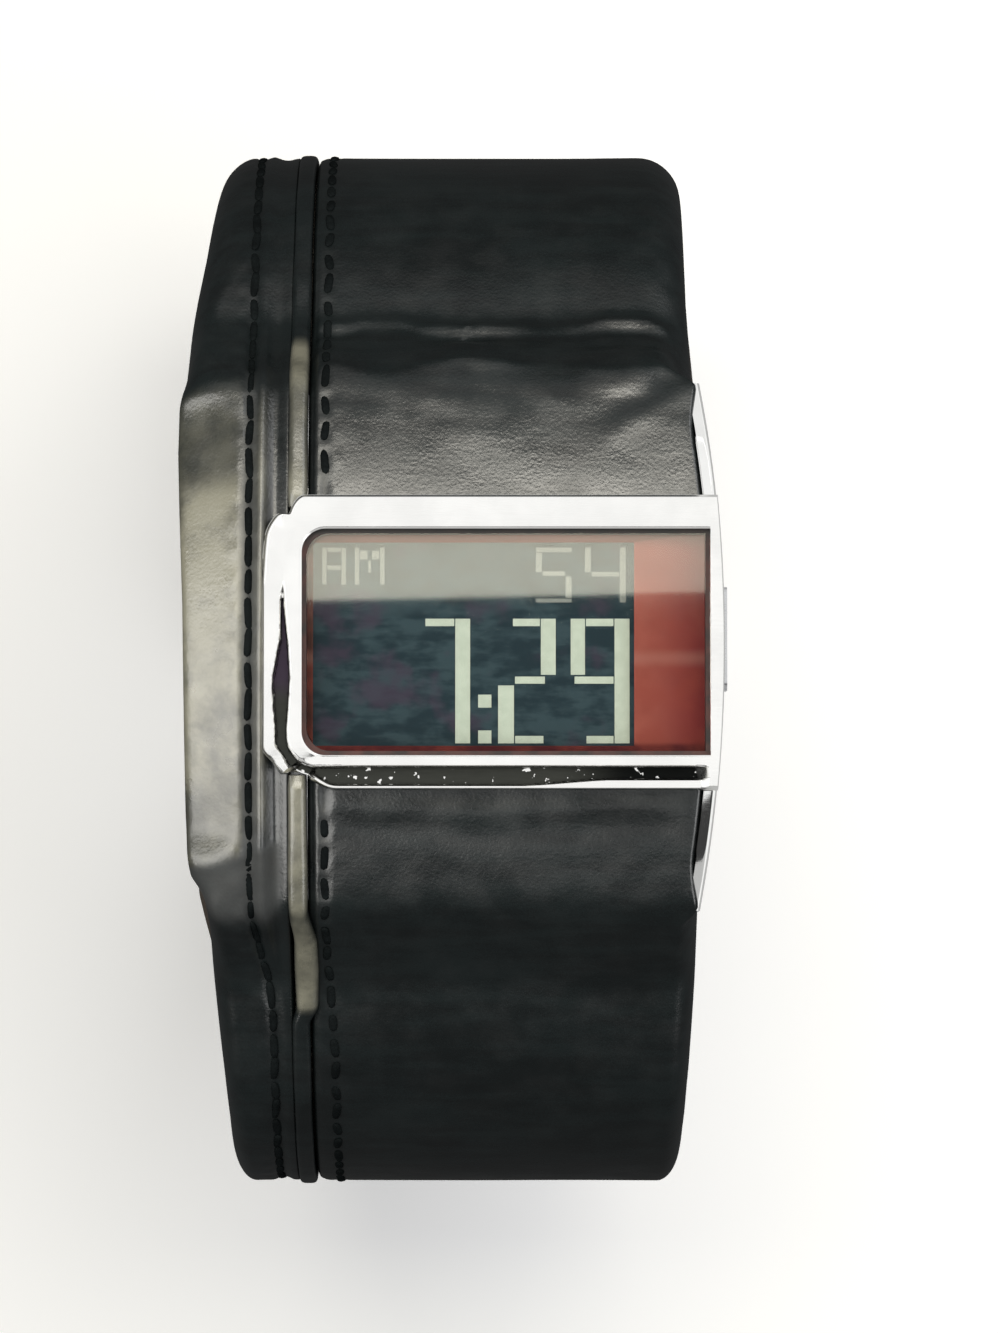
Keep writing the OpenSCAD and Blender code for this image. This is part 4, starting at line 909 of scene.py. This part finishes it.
# %% [markdown]
# The case's bare right flank is the one part of it that shows. Its upper edge is rounded by
# polishing, and that rounding is what catches the light, so the CAD shape is copied, its flat
# faces are joined again, and a bevel goes along that one edge, outside the frame.
# %% Case
CASE_BEVEL, ON_FACE = 0.42, 0.08       # bevel's width, and how near a point counts as on a face


def rounded_flank(node):
    """A copy of the case in which the outer upper edge of the flank has a round bevel. An edge is
    part of it if both its ends lie on the flank and on the cover, beside the frame. The top of the
    flank first comes down by 0.3 mm towards both ends of the case, as the leather does."""
    work = bmesh.new()
    work.from_mesh(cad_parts[node].data)
    bmesh.ops.remove_doubles(work, verts=work.verts, dist=1e-6)
    bmesh.ops.dissolve_limit(work, angle_limit=0.005, verts=work.verts, edges=work.edges)
    work.verts.index_update()
    x, y, z = np.array([vert.co for vert in work.verts]).T / MM
    ends = np.array([[vert.index for vert in edge.verts] for edge in work.edges])
    on_cover = np.abs(z - cover_z(y)) < ON_FACE
    on_rim = (np.abs(x - flank(y)) < ON_FACE) & on_cover & (np.abs(y) > FRAME_HALF - 0.3)
    is_rim = on_rim[ends].all(1) & (np.abs(y[ends[:, 0]] - y[ends[:, 1]]) > 0.1)
    rim = [edge for edge, wanted in zip(work.edges, is_rim) if wanted]
    fall = 0.3 * MM * smooth(np.abs(y), 13.5, 17) * (on_cover & (x > flank(y) - RIM_W - 0.1))
    for vert, down in zip(work.verts, fall):
        vert.co.z -= down
    bmesh.ops.bevel(work, geom=rim, offset=CASE_BEVEL * MM, segments=6, profile=0.5, affect="EDGES",
                    clamp_overlap=True)
    bmesh.ops.triangulate(work, faces=[f for f in work.faces if len(f.verts) > 4])
    points = np.array([v.co for v in work.verts]) / MM
    faces = [[v.index for v in f.verts] for f in work.faces]
    work.free()
    print("rounded", len(rim), "edges of the flank")
    return make_piece("case_shell", points, faces, "polished_steel", "watch", [node], crease=30)


case_shell = rounded_flank("case_body")

# %% [markdown]
# Finishes are node trees, and long trees are hard to read as calls. A small class wraps an output
# socket so that sums and products of sockets are written as sums and products. It also adds any
# other node, with its settings first and then the values or links of its sockets.
# %% A way to write shaders
class Wire:
    """An output socket. Arithmetic with wires and numbers adds Math nodes."""

    def __init__(self, finish, socket):
        self.finish, self.socket = finish, socket

    def math(self, operation, a, b):
        return self.finish.node("Math", {"operation": operation}, {0: a, 1: b})

    def __add__(self, other):
        return self.math("ADD", self, other)

    def __sub__(self, other):
        return self.math("SUBTRACT", self, other)

    def __rsub__(self, other):
        return self.math("SUBTRACT", other, self)

    def __mul__(self, other):
        return self.math("MULTIPLY", self, other)

    __radd__, __rmul__ = __add__, __mul__


class Finish:
    """One procedural material."""

    def __init__(self, name):
        self.material = bpy.data.materials.new(name)
        self.material.use_nodes = True
        self.tree = self.material.node_tree
        self.tree.nodes.clear()
        self.place = self.node("TexCoord", out="Object")

    def node(self, kind, settings=None, inputs=None, out=0):
        """Adds a node: settings, then values or wires for its sockets; returns one output."""
        new = self.tree.nodes.new("ShaderNode" + kind)
        for key, value in (settings or {}).items():
            setattr(new, key, value)
        for key, value in (inputs or {}).items():
            if isinstance(value, Wire):
                self.tree.links.new(value.socket, new.inputs[key])
            else:
                new.inputs[key].default_value = value
        return Wire(self, new.outputs[out])

    def axis(self, letter):
        """One coordinate of the place, in metres: X is across the cuff, Y towards 12 o'clock."""
        return self.node("SeparateXYZ", None, {0: self.place}, out=letter)

    def mark(self, name):
        """A value that a piece carries at its points."""
        return self.node("Attribute", {"attribute_name": name}, out="Fac")

    def stretched(self, *scale):
        """The place with its axes scaled, which draws out what is made from it."""
        return self.node("Mapping", None, {"Vector": self.place, "Scale": scale})

    def noise(self, scale, detail=3.0, place=None):
        """Noise with features about 1 / scale metres across."""
        return self.node("TexNoise", None, {"Vector": place or self.place, "Scale": scale, "Detail": detail})

    def ramp(self, value, low, high, a=0.0, b=1.0):
        """Maps value from low..high to a..b, held outside."""
        return self.node("MapRange", {"interpolation_type": "SMOOTHSTEP"},
                         {0: value, 1: low, 2: high, 3: a, 4: b})

    def mix(self, factor, a, b):
        """Mixes two colours."""
        return self.node("Mix", {"data_type": "RGBA"}, {0: factor, 6: a, 7: b}, out=2)

    def bump(self, height, distance):
        """Turns a height of 0 to 1 into a normal; distance is the relief's depth in metres."""
        return self.node("Bump", None, {"Height": height, "Distance": distance, "Strength": 1.0})

    def skin(self, **sockets):
        """The surface shader, with constants on its own sockets; names use _ for a space."""
        return self.node("BsdfPrincipled", None, {k.replace("_", " "): v for k, v in sockets.items()})

    def done(self, shader):
        """Links the shader to the output and returns the material."""
        out = self.tree.nodes.new("ShaderNodeOutputMaterial")
        self.tree.links.new(shader.socket, out.inputs["Surface"])
        return self.material


def wear(material, *pieces):
    """Gives pieces or CAD nodes a material as their only one."""
    for piece in pieces:
        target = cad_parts[piece] if isinstance(piece, str) else piece
        target.data.materials.clear()
        target.data.materials.append(material)


def colour(red, green, blue):
    """A colour given as in a picture, 0 to 255, turned to the linear values that light uses."""
    v = np.array([red, green, blue]) / 255
    linear = np.where(v <= 0.04045, v / 12.92, ((v + 0.055) / 1.055) ** 2.4)
    return (*linear.tolist(), 1.0)

# %% [markdown]
# Smooth cowhide, dyed black and lightly waxed. Its grain is a net of fine cells with pores, a few
# tenths of a millimetre wide, and its gloss is uneven. A coat over a matte skin would be the usual
# way to wax; here one glossy layer with a high IOR does it, so that the grain breaks up its
# reflections, as on the real strap. The marks laid down with the shape say where the black is
# painted pale, with wear and a painted sheen on the side over the case and a painted highlight on
# the ridge and the welt, and where the wax is gone.
# %% Leather
def leather(name, dark, light, gloss, grain=1.0, ior=1.35, pale=None):
    """Leather from dark to light in fine spots. gloss is its mean roughness, grain the depth of
    its relief in steps of 0.02 mm, and pale the colour painted where the leather is marked pale,
    with wear and painted sheen."""
    f = Finish(name)
    cells = f.node("TexVoronoi", {"feature": "F1"}, {"Vector": f.place, "Scale": 3600.0})
    pores = f.noise(6500, 2)
    fibres = f.noise(900, 3, f.stretched(0.15, 1.0, 1.0))
    height = cells * 0.4 + pores * 0.6 + f.noise(600, 3) * 1.2 + fibres * 0.8
    spots = f.noise(160, 4) * 0.4 + fibres * 0.35 + pores * 0.25
    tone = f.mix(f.ramp(spots, 0.4, 0.6), dark, light)
    rough = f.ramp(f.noise(420, 4), 0.3, 0.7, gloss - 0.05, gloss + 0.06)
    if pale:
        # painted pale in patches where the mark says: wear, painted sheen and painted highlight
        patches = f.noise(150, 3) * 0.55 + f.noise(480, 3) * 0.35 + f.noise(2400, 2) * 0.1
        patches = f.ramp(patches, 0.38, 0.6, 0.35, 1.0)
        tone = f.mix(f.mark("rubbed") * patches, tone, pale)
        rough = rough + f.mark("dull") * 0.5
    return f.done(f.skin(Base_Color=tone, Roughness=rough, IOR=ior, Specular_IOR_Level=0.5,
                         Normal=f.bump(height, 0.00002 * grain)))


# pale: the colour of the wear and painted sheen on the side over the case
black_leather = leather("black leather", colour(11, 16, 17), colour(19, 26, 27), 0.31, ior=1.9,
                        pale=colour(130, 128, 114))
wear(black_leather, cuff_left, cuff_top, cuff_bottom, welt_top, welt_bottom, keeper_sewn, keeper_loose)
suede = leather("lining leather", colour(52, 48, 45), colour(66, 60, 55), 0.72, 2.0)
wear(suede, lining)
thread = leather("waxed thread", colour(12, 15, 16), colour(21, 25, 26), 0.75, 1.5, ior=1.12)
wear(thread, thread_left, thread_top, thread_bottom)
print("leathers:", black_leather.name, suede.name, thread.name)

# %% Felt
felt = Finish("grey felt")
fibres = felt.noise(1500, 6)
felt_tone = felt.mix(felt.ramp(fibres, 0.3, 0.7), colour(70, 68, 64), colour(104, 100, 95))
wear(felt.done(felt.skin(Base_Color=felt_tone, Roughness=0.95, Normal=felt.bump(fibres, 0.0003))),
     padding_12, padding_6)
print("felt nodes:", len(felt.tree.nodes))

# %% [markdown]
# Polished steel is a mirror with very fine scratches; inside the case the steel is only brushed.
# The cove of the frame is painted dark: painted shade and a painted dark reflection. A lamp can't
# put them there without lighting the rest, so the mark laid down with its shape brings them in,
# darker to the right; in the slit on the left it is painted a lighter mauve above, as where light
# falls, and black below, and elsewhere small painted glints break it up.
# %% Steel
def steel(name, tone, rough, scratch, cove=False):
    """Metal with fine lines along X, rough and as deep as scratch; cove adds the frame's shade."""
    f = Finish(name)
    lines = f.noise(900, 5, f.stretched(1.0, 14.0, 1.0))
    smudge = f.noise(300, 3)
    base = f.mix(f.ramp(smudge, 0.3, 0.7), tone, tuple(0.93 * c for c in tone[:3]) + (1.0,))
    roughness = f.ramp(lines, 0.25, 0.75, rough * 0.75, rough * 1.35)
    if cove:
        shade, down = f.mark("cove"), f.axis("Y")
        side = f.ramp(f.axis("X"), -0.0100, -0.0108)
        right = f.ramp(f.axis("X"), 0.007, 0.012)
        # painted shade, darker to the right; in the slit on the left, painted light in mauve above and
        # painted shade below
        dark = f.mix(right, colour(68, 69, 64), colour(24, 25, 24))
        dark = f.mix(side * f.ramp(down, -0.0042, -0.0022), dark, colour(72, 63, 74))
        # small painted glints break the painted shade, except in the slit on the left
        shade = shade * (1 - (1 - side) * f.ramp(f.noise(1900, 2), 0.66, 0.69))
        base = f.mix(shade, base, dark)
        roughness = roughness + shade * 0.25
    return f.done(f.skin(Base_Color=base, Metallic=1.0, Roughness=roughness, Normal=f.bump(lines, scratch)))


mirror_steel = steel("polished steel", (0.92, 0.92, 0.9, 1.0), 0.07, 0.0000006)
frame_steel = steel("polished steel of the frame", (0.97, 0.965, 0.94, 1.0), 0.17, 0.0000004, cove=True)
satin_steel = steel("brushed steel", (0.66, 0.67, 0.68, 1.0), 0.3, 0.000003)
wear(frame_steel, bezel)
wear(mirror_steel, case_shell, "buckle_frame", "tang", "case_back_screws", "spring_bar_tube",
     "spring_bar_tips")
wear(satin_steel, "pusher", "pusher_spring", "pusher_clip", "case_back", "quartz_can", "battery",
     "buzzer_spring", "spring_bar_spring")
brass = steel("stamped brass", (0.68, 0.5, 0.2, 1.0), 0.25, 0.000002)
wear(brass, "battery_clip", "buzzer")
print("metals:", mirror_steel.name, frame_steel.name, satin_steel.name, brass.name)

# %% [markdown]
# The crystal is flat mineral glass. Mixing a clear shader with a mirror keeps the look of glass,
# lets light reach the display straight, and still bakes, where a full glass shader would cost many
# more bounces. The share of the mirror is 7 % seen from straight above and rises with the fifth
# power of how grazing the view is, the same from inside, or else the light would be caught there.
# %% Crystal
glass = Finish("mineral crystal")
grazing = glass.node("LayerWeight", None, {"Blend": 0.5}, out="Facing")
facing = grazing.math("POWER", grazing, 5.0) * 0.93 + 0.067
mirror = glass.skin(Base_Color=(1.0, 1.0, 1.0, 1.0), Metallic=1.0, Roughness=0.02)
clear = glass.node("BsdfTransparent", None, {"Color": (0.97, 0.98, 0.98, 1.0)})
wear(glass.done(glass.node("MixShader", None, {0: facing, 1: clear, 2: mirror})), "crystal")
print("crystal nodes:", len(glass.tree.nodes))

# %% [markdown]
# Behind the glass lies a mask printed red. One flat red would look like plastic, so its tone grows
# darker to the right, at its left end and at its foot, it is cloudy, and a pale streak crosses it.
# %% Red mask
mask = Finish("printed red mask")
mask_x, mask_y = mask.axis("X"), mask.axis("Y")
to_right = mask.ramp(mask_x, 0.0122, 0.0172)
streak = mask.ramp(mask_y, -0.0018, -0.0010) * mask.ramp(mask_y, -0.0002, -0.0010)
red = mask.mix(to_right, colour(148, 80, 69), colour(114, 44, 44))
at_left = mask.ramp(mask_x, -0.0090, -0.0096)
at_foot = mask.ramp(mask_y, -0.0066, -0.0070)
red = mask.mix(at_left, red, colour(66, 40, 34))
red = mask.mix(at_foot, red, colour(77, 32, 36))
red = mask.mix(mask.ramp(mask.noise(500, 4), 0.35, 0.7) * 0.5, red, colour(133, 62, 52))
red = mask.mix(streak * 0.25, red, colour(180, 133, 120))
wear(mask.done(mask.skin(Base_Color=red, Roughness=0.06, Specular_IOR_Level=0.5,
                         Normal=mask.bump(mask.noise(2500, 2), 0.0000003))), "dial_mask")
print("mask nodes:", len(mask.tree.nodes))

# %% [markdown]
# The display is a dark liquid crystal panel, slate blue with a breath of violet, and its figures
# are paler than the ground. They are a piece of their own and so need only a tone, greyer in the
# small row above the large figures.
# %% Display and figures
lcd = Finish("liquid crystal panel")
bands = lcd.noise(1500, 4, lcd.stretched(0.35, 1.0, 1.0))
cloud = lcd.noise(500, 4)
slate = lcd.mix(lcd.ramp(bands * 0.6 + cloud * 0.4, 0.4, 0.6), colour(31, 47, 54), colour(52, 69, 75))
slate = lcd.mix(lcd.ramp(lcd.noise(330, 3), 0.52, 0.7) * 0.6, slate, colour(69, 55, 72))
wear(lcd.done(lcd.skin(Base_Color=slate, Roughness=0.6, Specular_IOR_Level=0.05,
                       Normal=lcd.bump(lcd.noise(3000, 2), 0.000001))), "lcd_panel")

figures = Finish("pale figures")
small_row = figures.ramp(figures.axis("Y"), 0.0022, 0.0028)
spots = figures.ramp(figures.noise(1400, 3), 0.3, 0.7)
tone = figures.mix(spots, colour(189, 197, 181), colour(198, 206, 190))
tone = figures.mix(small_row, tone, colour(135, 138, 132))
wear(figures.done(figures.skin(Base_Color=tone, Roughness=0.8, Specular_IOR_Level=0.1)), "lcd_digits")
print("display nodes:", len(lcd.tree.nodes), "figure nodes:", len(figures.tree.nodes))

# %% [markdown]
# The seal is the thin line round the glass, black along the 12 o'clock side and dark red elsewhere.
# Most of the module is hidden, but each piece still gets the finish of its own stuff: two tones in
# soft spots, and a faint relief of the same spots.
# %% Seal and module
def plain(name, dark, light, rough):
    """A plain stuff in two tones."""
    f = Finish(name)
    spots = f.noise(900.0, 4)
    return f.done(f.skin(Base_Color=f.mix(f.ramp(spots, 0.3, 0.7), dark, light), Roughness=rough,
                         Specular_IOR_Level=0.5, Normal=f.bump(spots, 0.000004)))


wear(plain("black rubber", colour(12, 12, 12), colour(22, 22, 22), 0.7), "case_back_gasket",
     "pusher_gasket")
seal = Finish("glass seal")
seal_tone = seal.mix(seal.ramp(seal.axis("Y"), 0.0068, 0.0074), colour(73, 39, 35), colour(18, 18, 18))
seal_tone = seal.mix(seal.ramp(seal.noise(700, 3), 0.3, 0.7), seal_tone, colour(30, 22, 22))
wear(seal.done(seal.skin(Base_Color=seal_tone, Roughness=0.6)), "crystal_gasket")
wear(plain("light film", colour(205, 220, 208), colour(222, 232, 222), 0.4), "backlight")
wear(plain("contact rubber", colour(170, 110, 100), colour(196, 134, 120), 0.6), "zebra_strips")
wear(plain("moulded plastic", colour(32, 32, 35), colour(44, 44, 48), 0.45), "module_frame", "driver_chip")
wear(plain("lacquered board", colour(18, 84, 50), colour(30, 108, 64), 0.3), "circuit_board")
wear(plain("amber film", colour(190, 128, 40), colour(214, 150, 60), 0.25), "battery_insulator")
print("materials:", len(bpy.data.materials))

# %% [markdown]
# Black glossy leather shows little but the lamps that it mirrors. So the lamps are large panels,
# each placed where the photograph shows its reflection: two over the watch, two behind it, one in
# front and one on each side. The veil panel makes the grey veil on the upper third of the glass,
# which ends where the panel's near edge is mirrored; so that edge is worked out by the mirror rule.
# %% A lamp, and where the glass looks
def area_light(name, at, aim, size, strength, tint=(1, 1, 1), roll=0.0):
    """A rectangular lamp at a point, facing another; strength is its radiance."""
    data = bpy.data.lights.new(name, "AREA")
    data.shape, data.size, data.size_y = "RECTANGLE", size[0] * MM, size[1] * MM
    data.energy = strength * np.pi * size[0] * size[1] * MM * MM
    data.color = tint
    lamp = bpy.data.objects.new(name, data)
    bpy.context.scene.collection.objects.link(lamp)
    lamp.location = Vector(np.array(at) * MM)
    turn = Vector(np.array(at, float) - np.array(aim, float)).to_track_quat("Z", "Y")
    lamp.rotation_euler = turn.to_euler()
    lamp.rotation_euler.rotate_axis("Z", roll)
    return lamp


def seen_in_glass(point, level):
    """Where the camera's ray goes after the flat glass: it meets the height level at the point
    mirrored about the glass's normal, point + (point - camera) with its z turned round."""
    ray = point - camera_at
    ray[2] = -ray[2]
    return point + ray * (level - point[2]) / ray[2]


PANEL_Z, VEIL_END, SHEEN_END = 430.0, 140.0, 243.0
veil_edge = seen_in_glass(np.array([3.5, 3.1, DIAL_Z]), PANEL_Z)
print("edge of the veil panel", veil_edge.round(1))

# %% Panels for the leather and the glass
def overhead(name, start, end, strength, blue):
    """A level panel over the watch, from start to end in Y, as wide as the other one."""
    x, y = veil_edge[0], (start + end) / 2
    return area_light(name, [x, y, PANEL_Z], [x, y, 0], (420, end - start), strength,
                      tint=(1.0, 0.96, blue), roll=0.02)


panels = [overhead("veil panel", veil_edge[1], VEIL_END, 2.9, 0.78),
          overhead("sheen panel", VEIL_END, SHEEN_END, 6.9, 0.87),
          area_light("high back panel", [0, 327, 380], [0, 15, 55], (760, 75), 0.19),
          area_light("low back panel", [0, 366, 247], [0, 18, 54], (760, 150), 0.22),
          area_light("front panel", [0, -185, 395], [0, -15, 58], (500, 70), 0.45)]
left_panel = area_light("left panel", [-300, -70, 340], [-16, 0, 58], (380, 440), 3.3, (1.0, 0.985, 0.95))
right_panel = area_light("right panel", [330, 0, 290], [18, 0, 56], (700, 380), 2.0)
panels += [left_panel, right_panel]
print("panels:", len(panels))

# %% [markdown]
# The floor is pale paper at the height of the buckle. It is seen, and the watch's shadow falls on
# it, but it neither mirrors in the leather nor lights it, which would turn its low sides grey.
# %% Floor
FLOOR_M = 2.5
floor_mesh = bpy.data.meshes.new("floor")
floor_mesh.from_pydata([(-FLOOR_M, -FLOOR_M, 0), (FLOOR_M, -FLOOR_M, 0),
                        (FLOOR_M, FLOOR_M, 0), (-FLOOR_M, FLOOR_M, 0)], [], [(0, 1, 2, 3)])
floor = bpy.data.objects.new("floor", floor_mesh)
bpy.context.scene.collection.objects.link(floor)
floor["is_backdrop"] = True
floor.visible_glossy = floor.visible_diffuse = False
print("floor", 2 * FLOOR_M, "m wide")

# %% [markdown]
# Polished steel needs white all round it, and black leather needs dark between its lamps. One set
# of lamps can't give both, so light linking gives each its own: the panels above light all but the
# polished pieces, and a tent of large dim lamps lights the polished pieces alone. The left panel
# also leaves out the floor, on which it would throw a shadow that the photograph doesn't have.
# %% Light linking and the tent
def link_light(lamp, things, state):
    """The lamp lights only these things (INCLUDE), or all but these (EXCLUDE)."""
    group = bpy.data.collections.new(lamp.name + " link")
    for thing in things:
        group.objects.link(thing)
    for link in group.collection_objects:
        link.light_linking.link_state = state
    lamp.light_linking.receiver_collection = group


polished = [bezel, case_shell] + [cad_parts[node] for node in ("pusher", "buckle_frame", "tang")]
for lamp in panels:
    link_light(lamp, polished + ([floor] if lamp == left_panel else []), "EXCLUDE")
tent = [area_light("tent roof", [0, 120, 430], [0, 120, 0], (1000, 600), 0.95),
        area_light("tent left", [-430, 0, 230], [0, 0, 230], (860, 460), 0.97),
        area_light("tent right", [430, 0, 230], [0, 0, 230], (860, 460), 0.97),
        area_light("tent back", [0, 430, 230], [0, 0, 230], (860, 460), 0.85),
        area_light("tent front", [0, -430, 230], [0, 0, 230], (860, 460), 0.5),
        area_light("tent floor", [0, 0, 0.5], [0, 0, 100], (860, 860), 0.45)]
for lamp in tent:
    link_light(lamp, polished, "INCLUDE")
    lamp.visible_camera = False
print("tent lamps:", len(tent))

# %% [markdown]
# The paper shines a little by itself, which keeps it even and white where no lamp reaches. The
# world is nearly black for every ray but the camera's, which sees it white beyond the floor.
# %% Paper and world
paper = Finish("floor paper")
matte = paper.skin(Base_Color=(0.8, 0.8, 0.8, 1.0), Roughness=1.0, Specular_IOR_Level=0.0,
                   Emission_Color=(1.0, 1.0, 1.0, 1.0), Emission_Strength=0.37)
floor.data.materials.append(paper.done(matte))

world = bpy.data.worlds.new("tent")
world.use_nodes = True
bpy.context.scene.world = world
back = world.node_tree.nodes["Background"]
back.inputs["Color"].default_value = (1.0, 1.0, 1.0, 1.0)
path = world.node_tree.nodes.new("ShaderNodeLightPath")
shade = world.node_tree.nodes.new("ShaderNodeMapRange")
shade.inputs["To Min"].default_value, shade.inputs["To Max"].default_value = 0.05, 0.98
world.node_tree.links.new(path.outputs["Is Camera Ray"], shade.inputs["Value"])
world.node_tree.links.new(shade.outputs["Result"], back.inputs["Strength"])
bpy.context.scene.view_settings.view_transform = "Standard"
print("world:", world.name, "lamps:", len(panels) + len(tent))

# %% [markdown]
# Last, the box of everything that is seen is printed beside the CAD's. The two should agree to a
# few tenths of a millimetre, or else a surface has left the solid that it stands for.
# %% Print the two boxes and finish
visual_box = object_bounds()
sizes = {"cad": [list(corner) for corner in cad_box], "visual": [list(corner) for corner in visual_box]}
for kind, box in sizes.items():
    print(kind, "box", np.array(box).round(4).tolist())
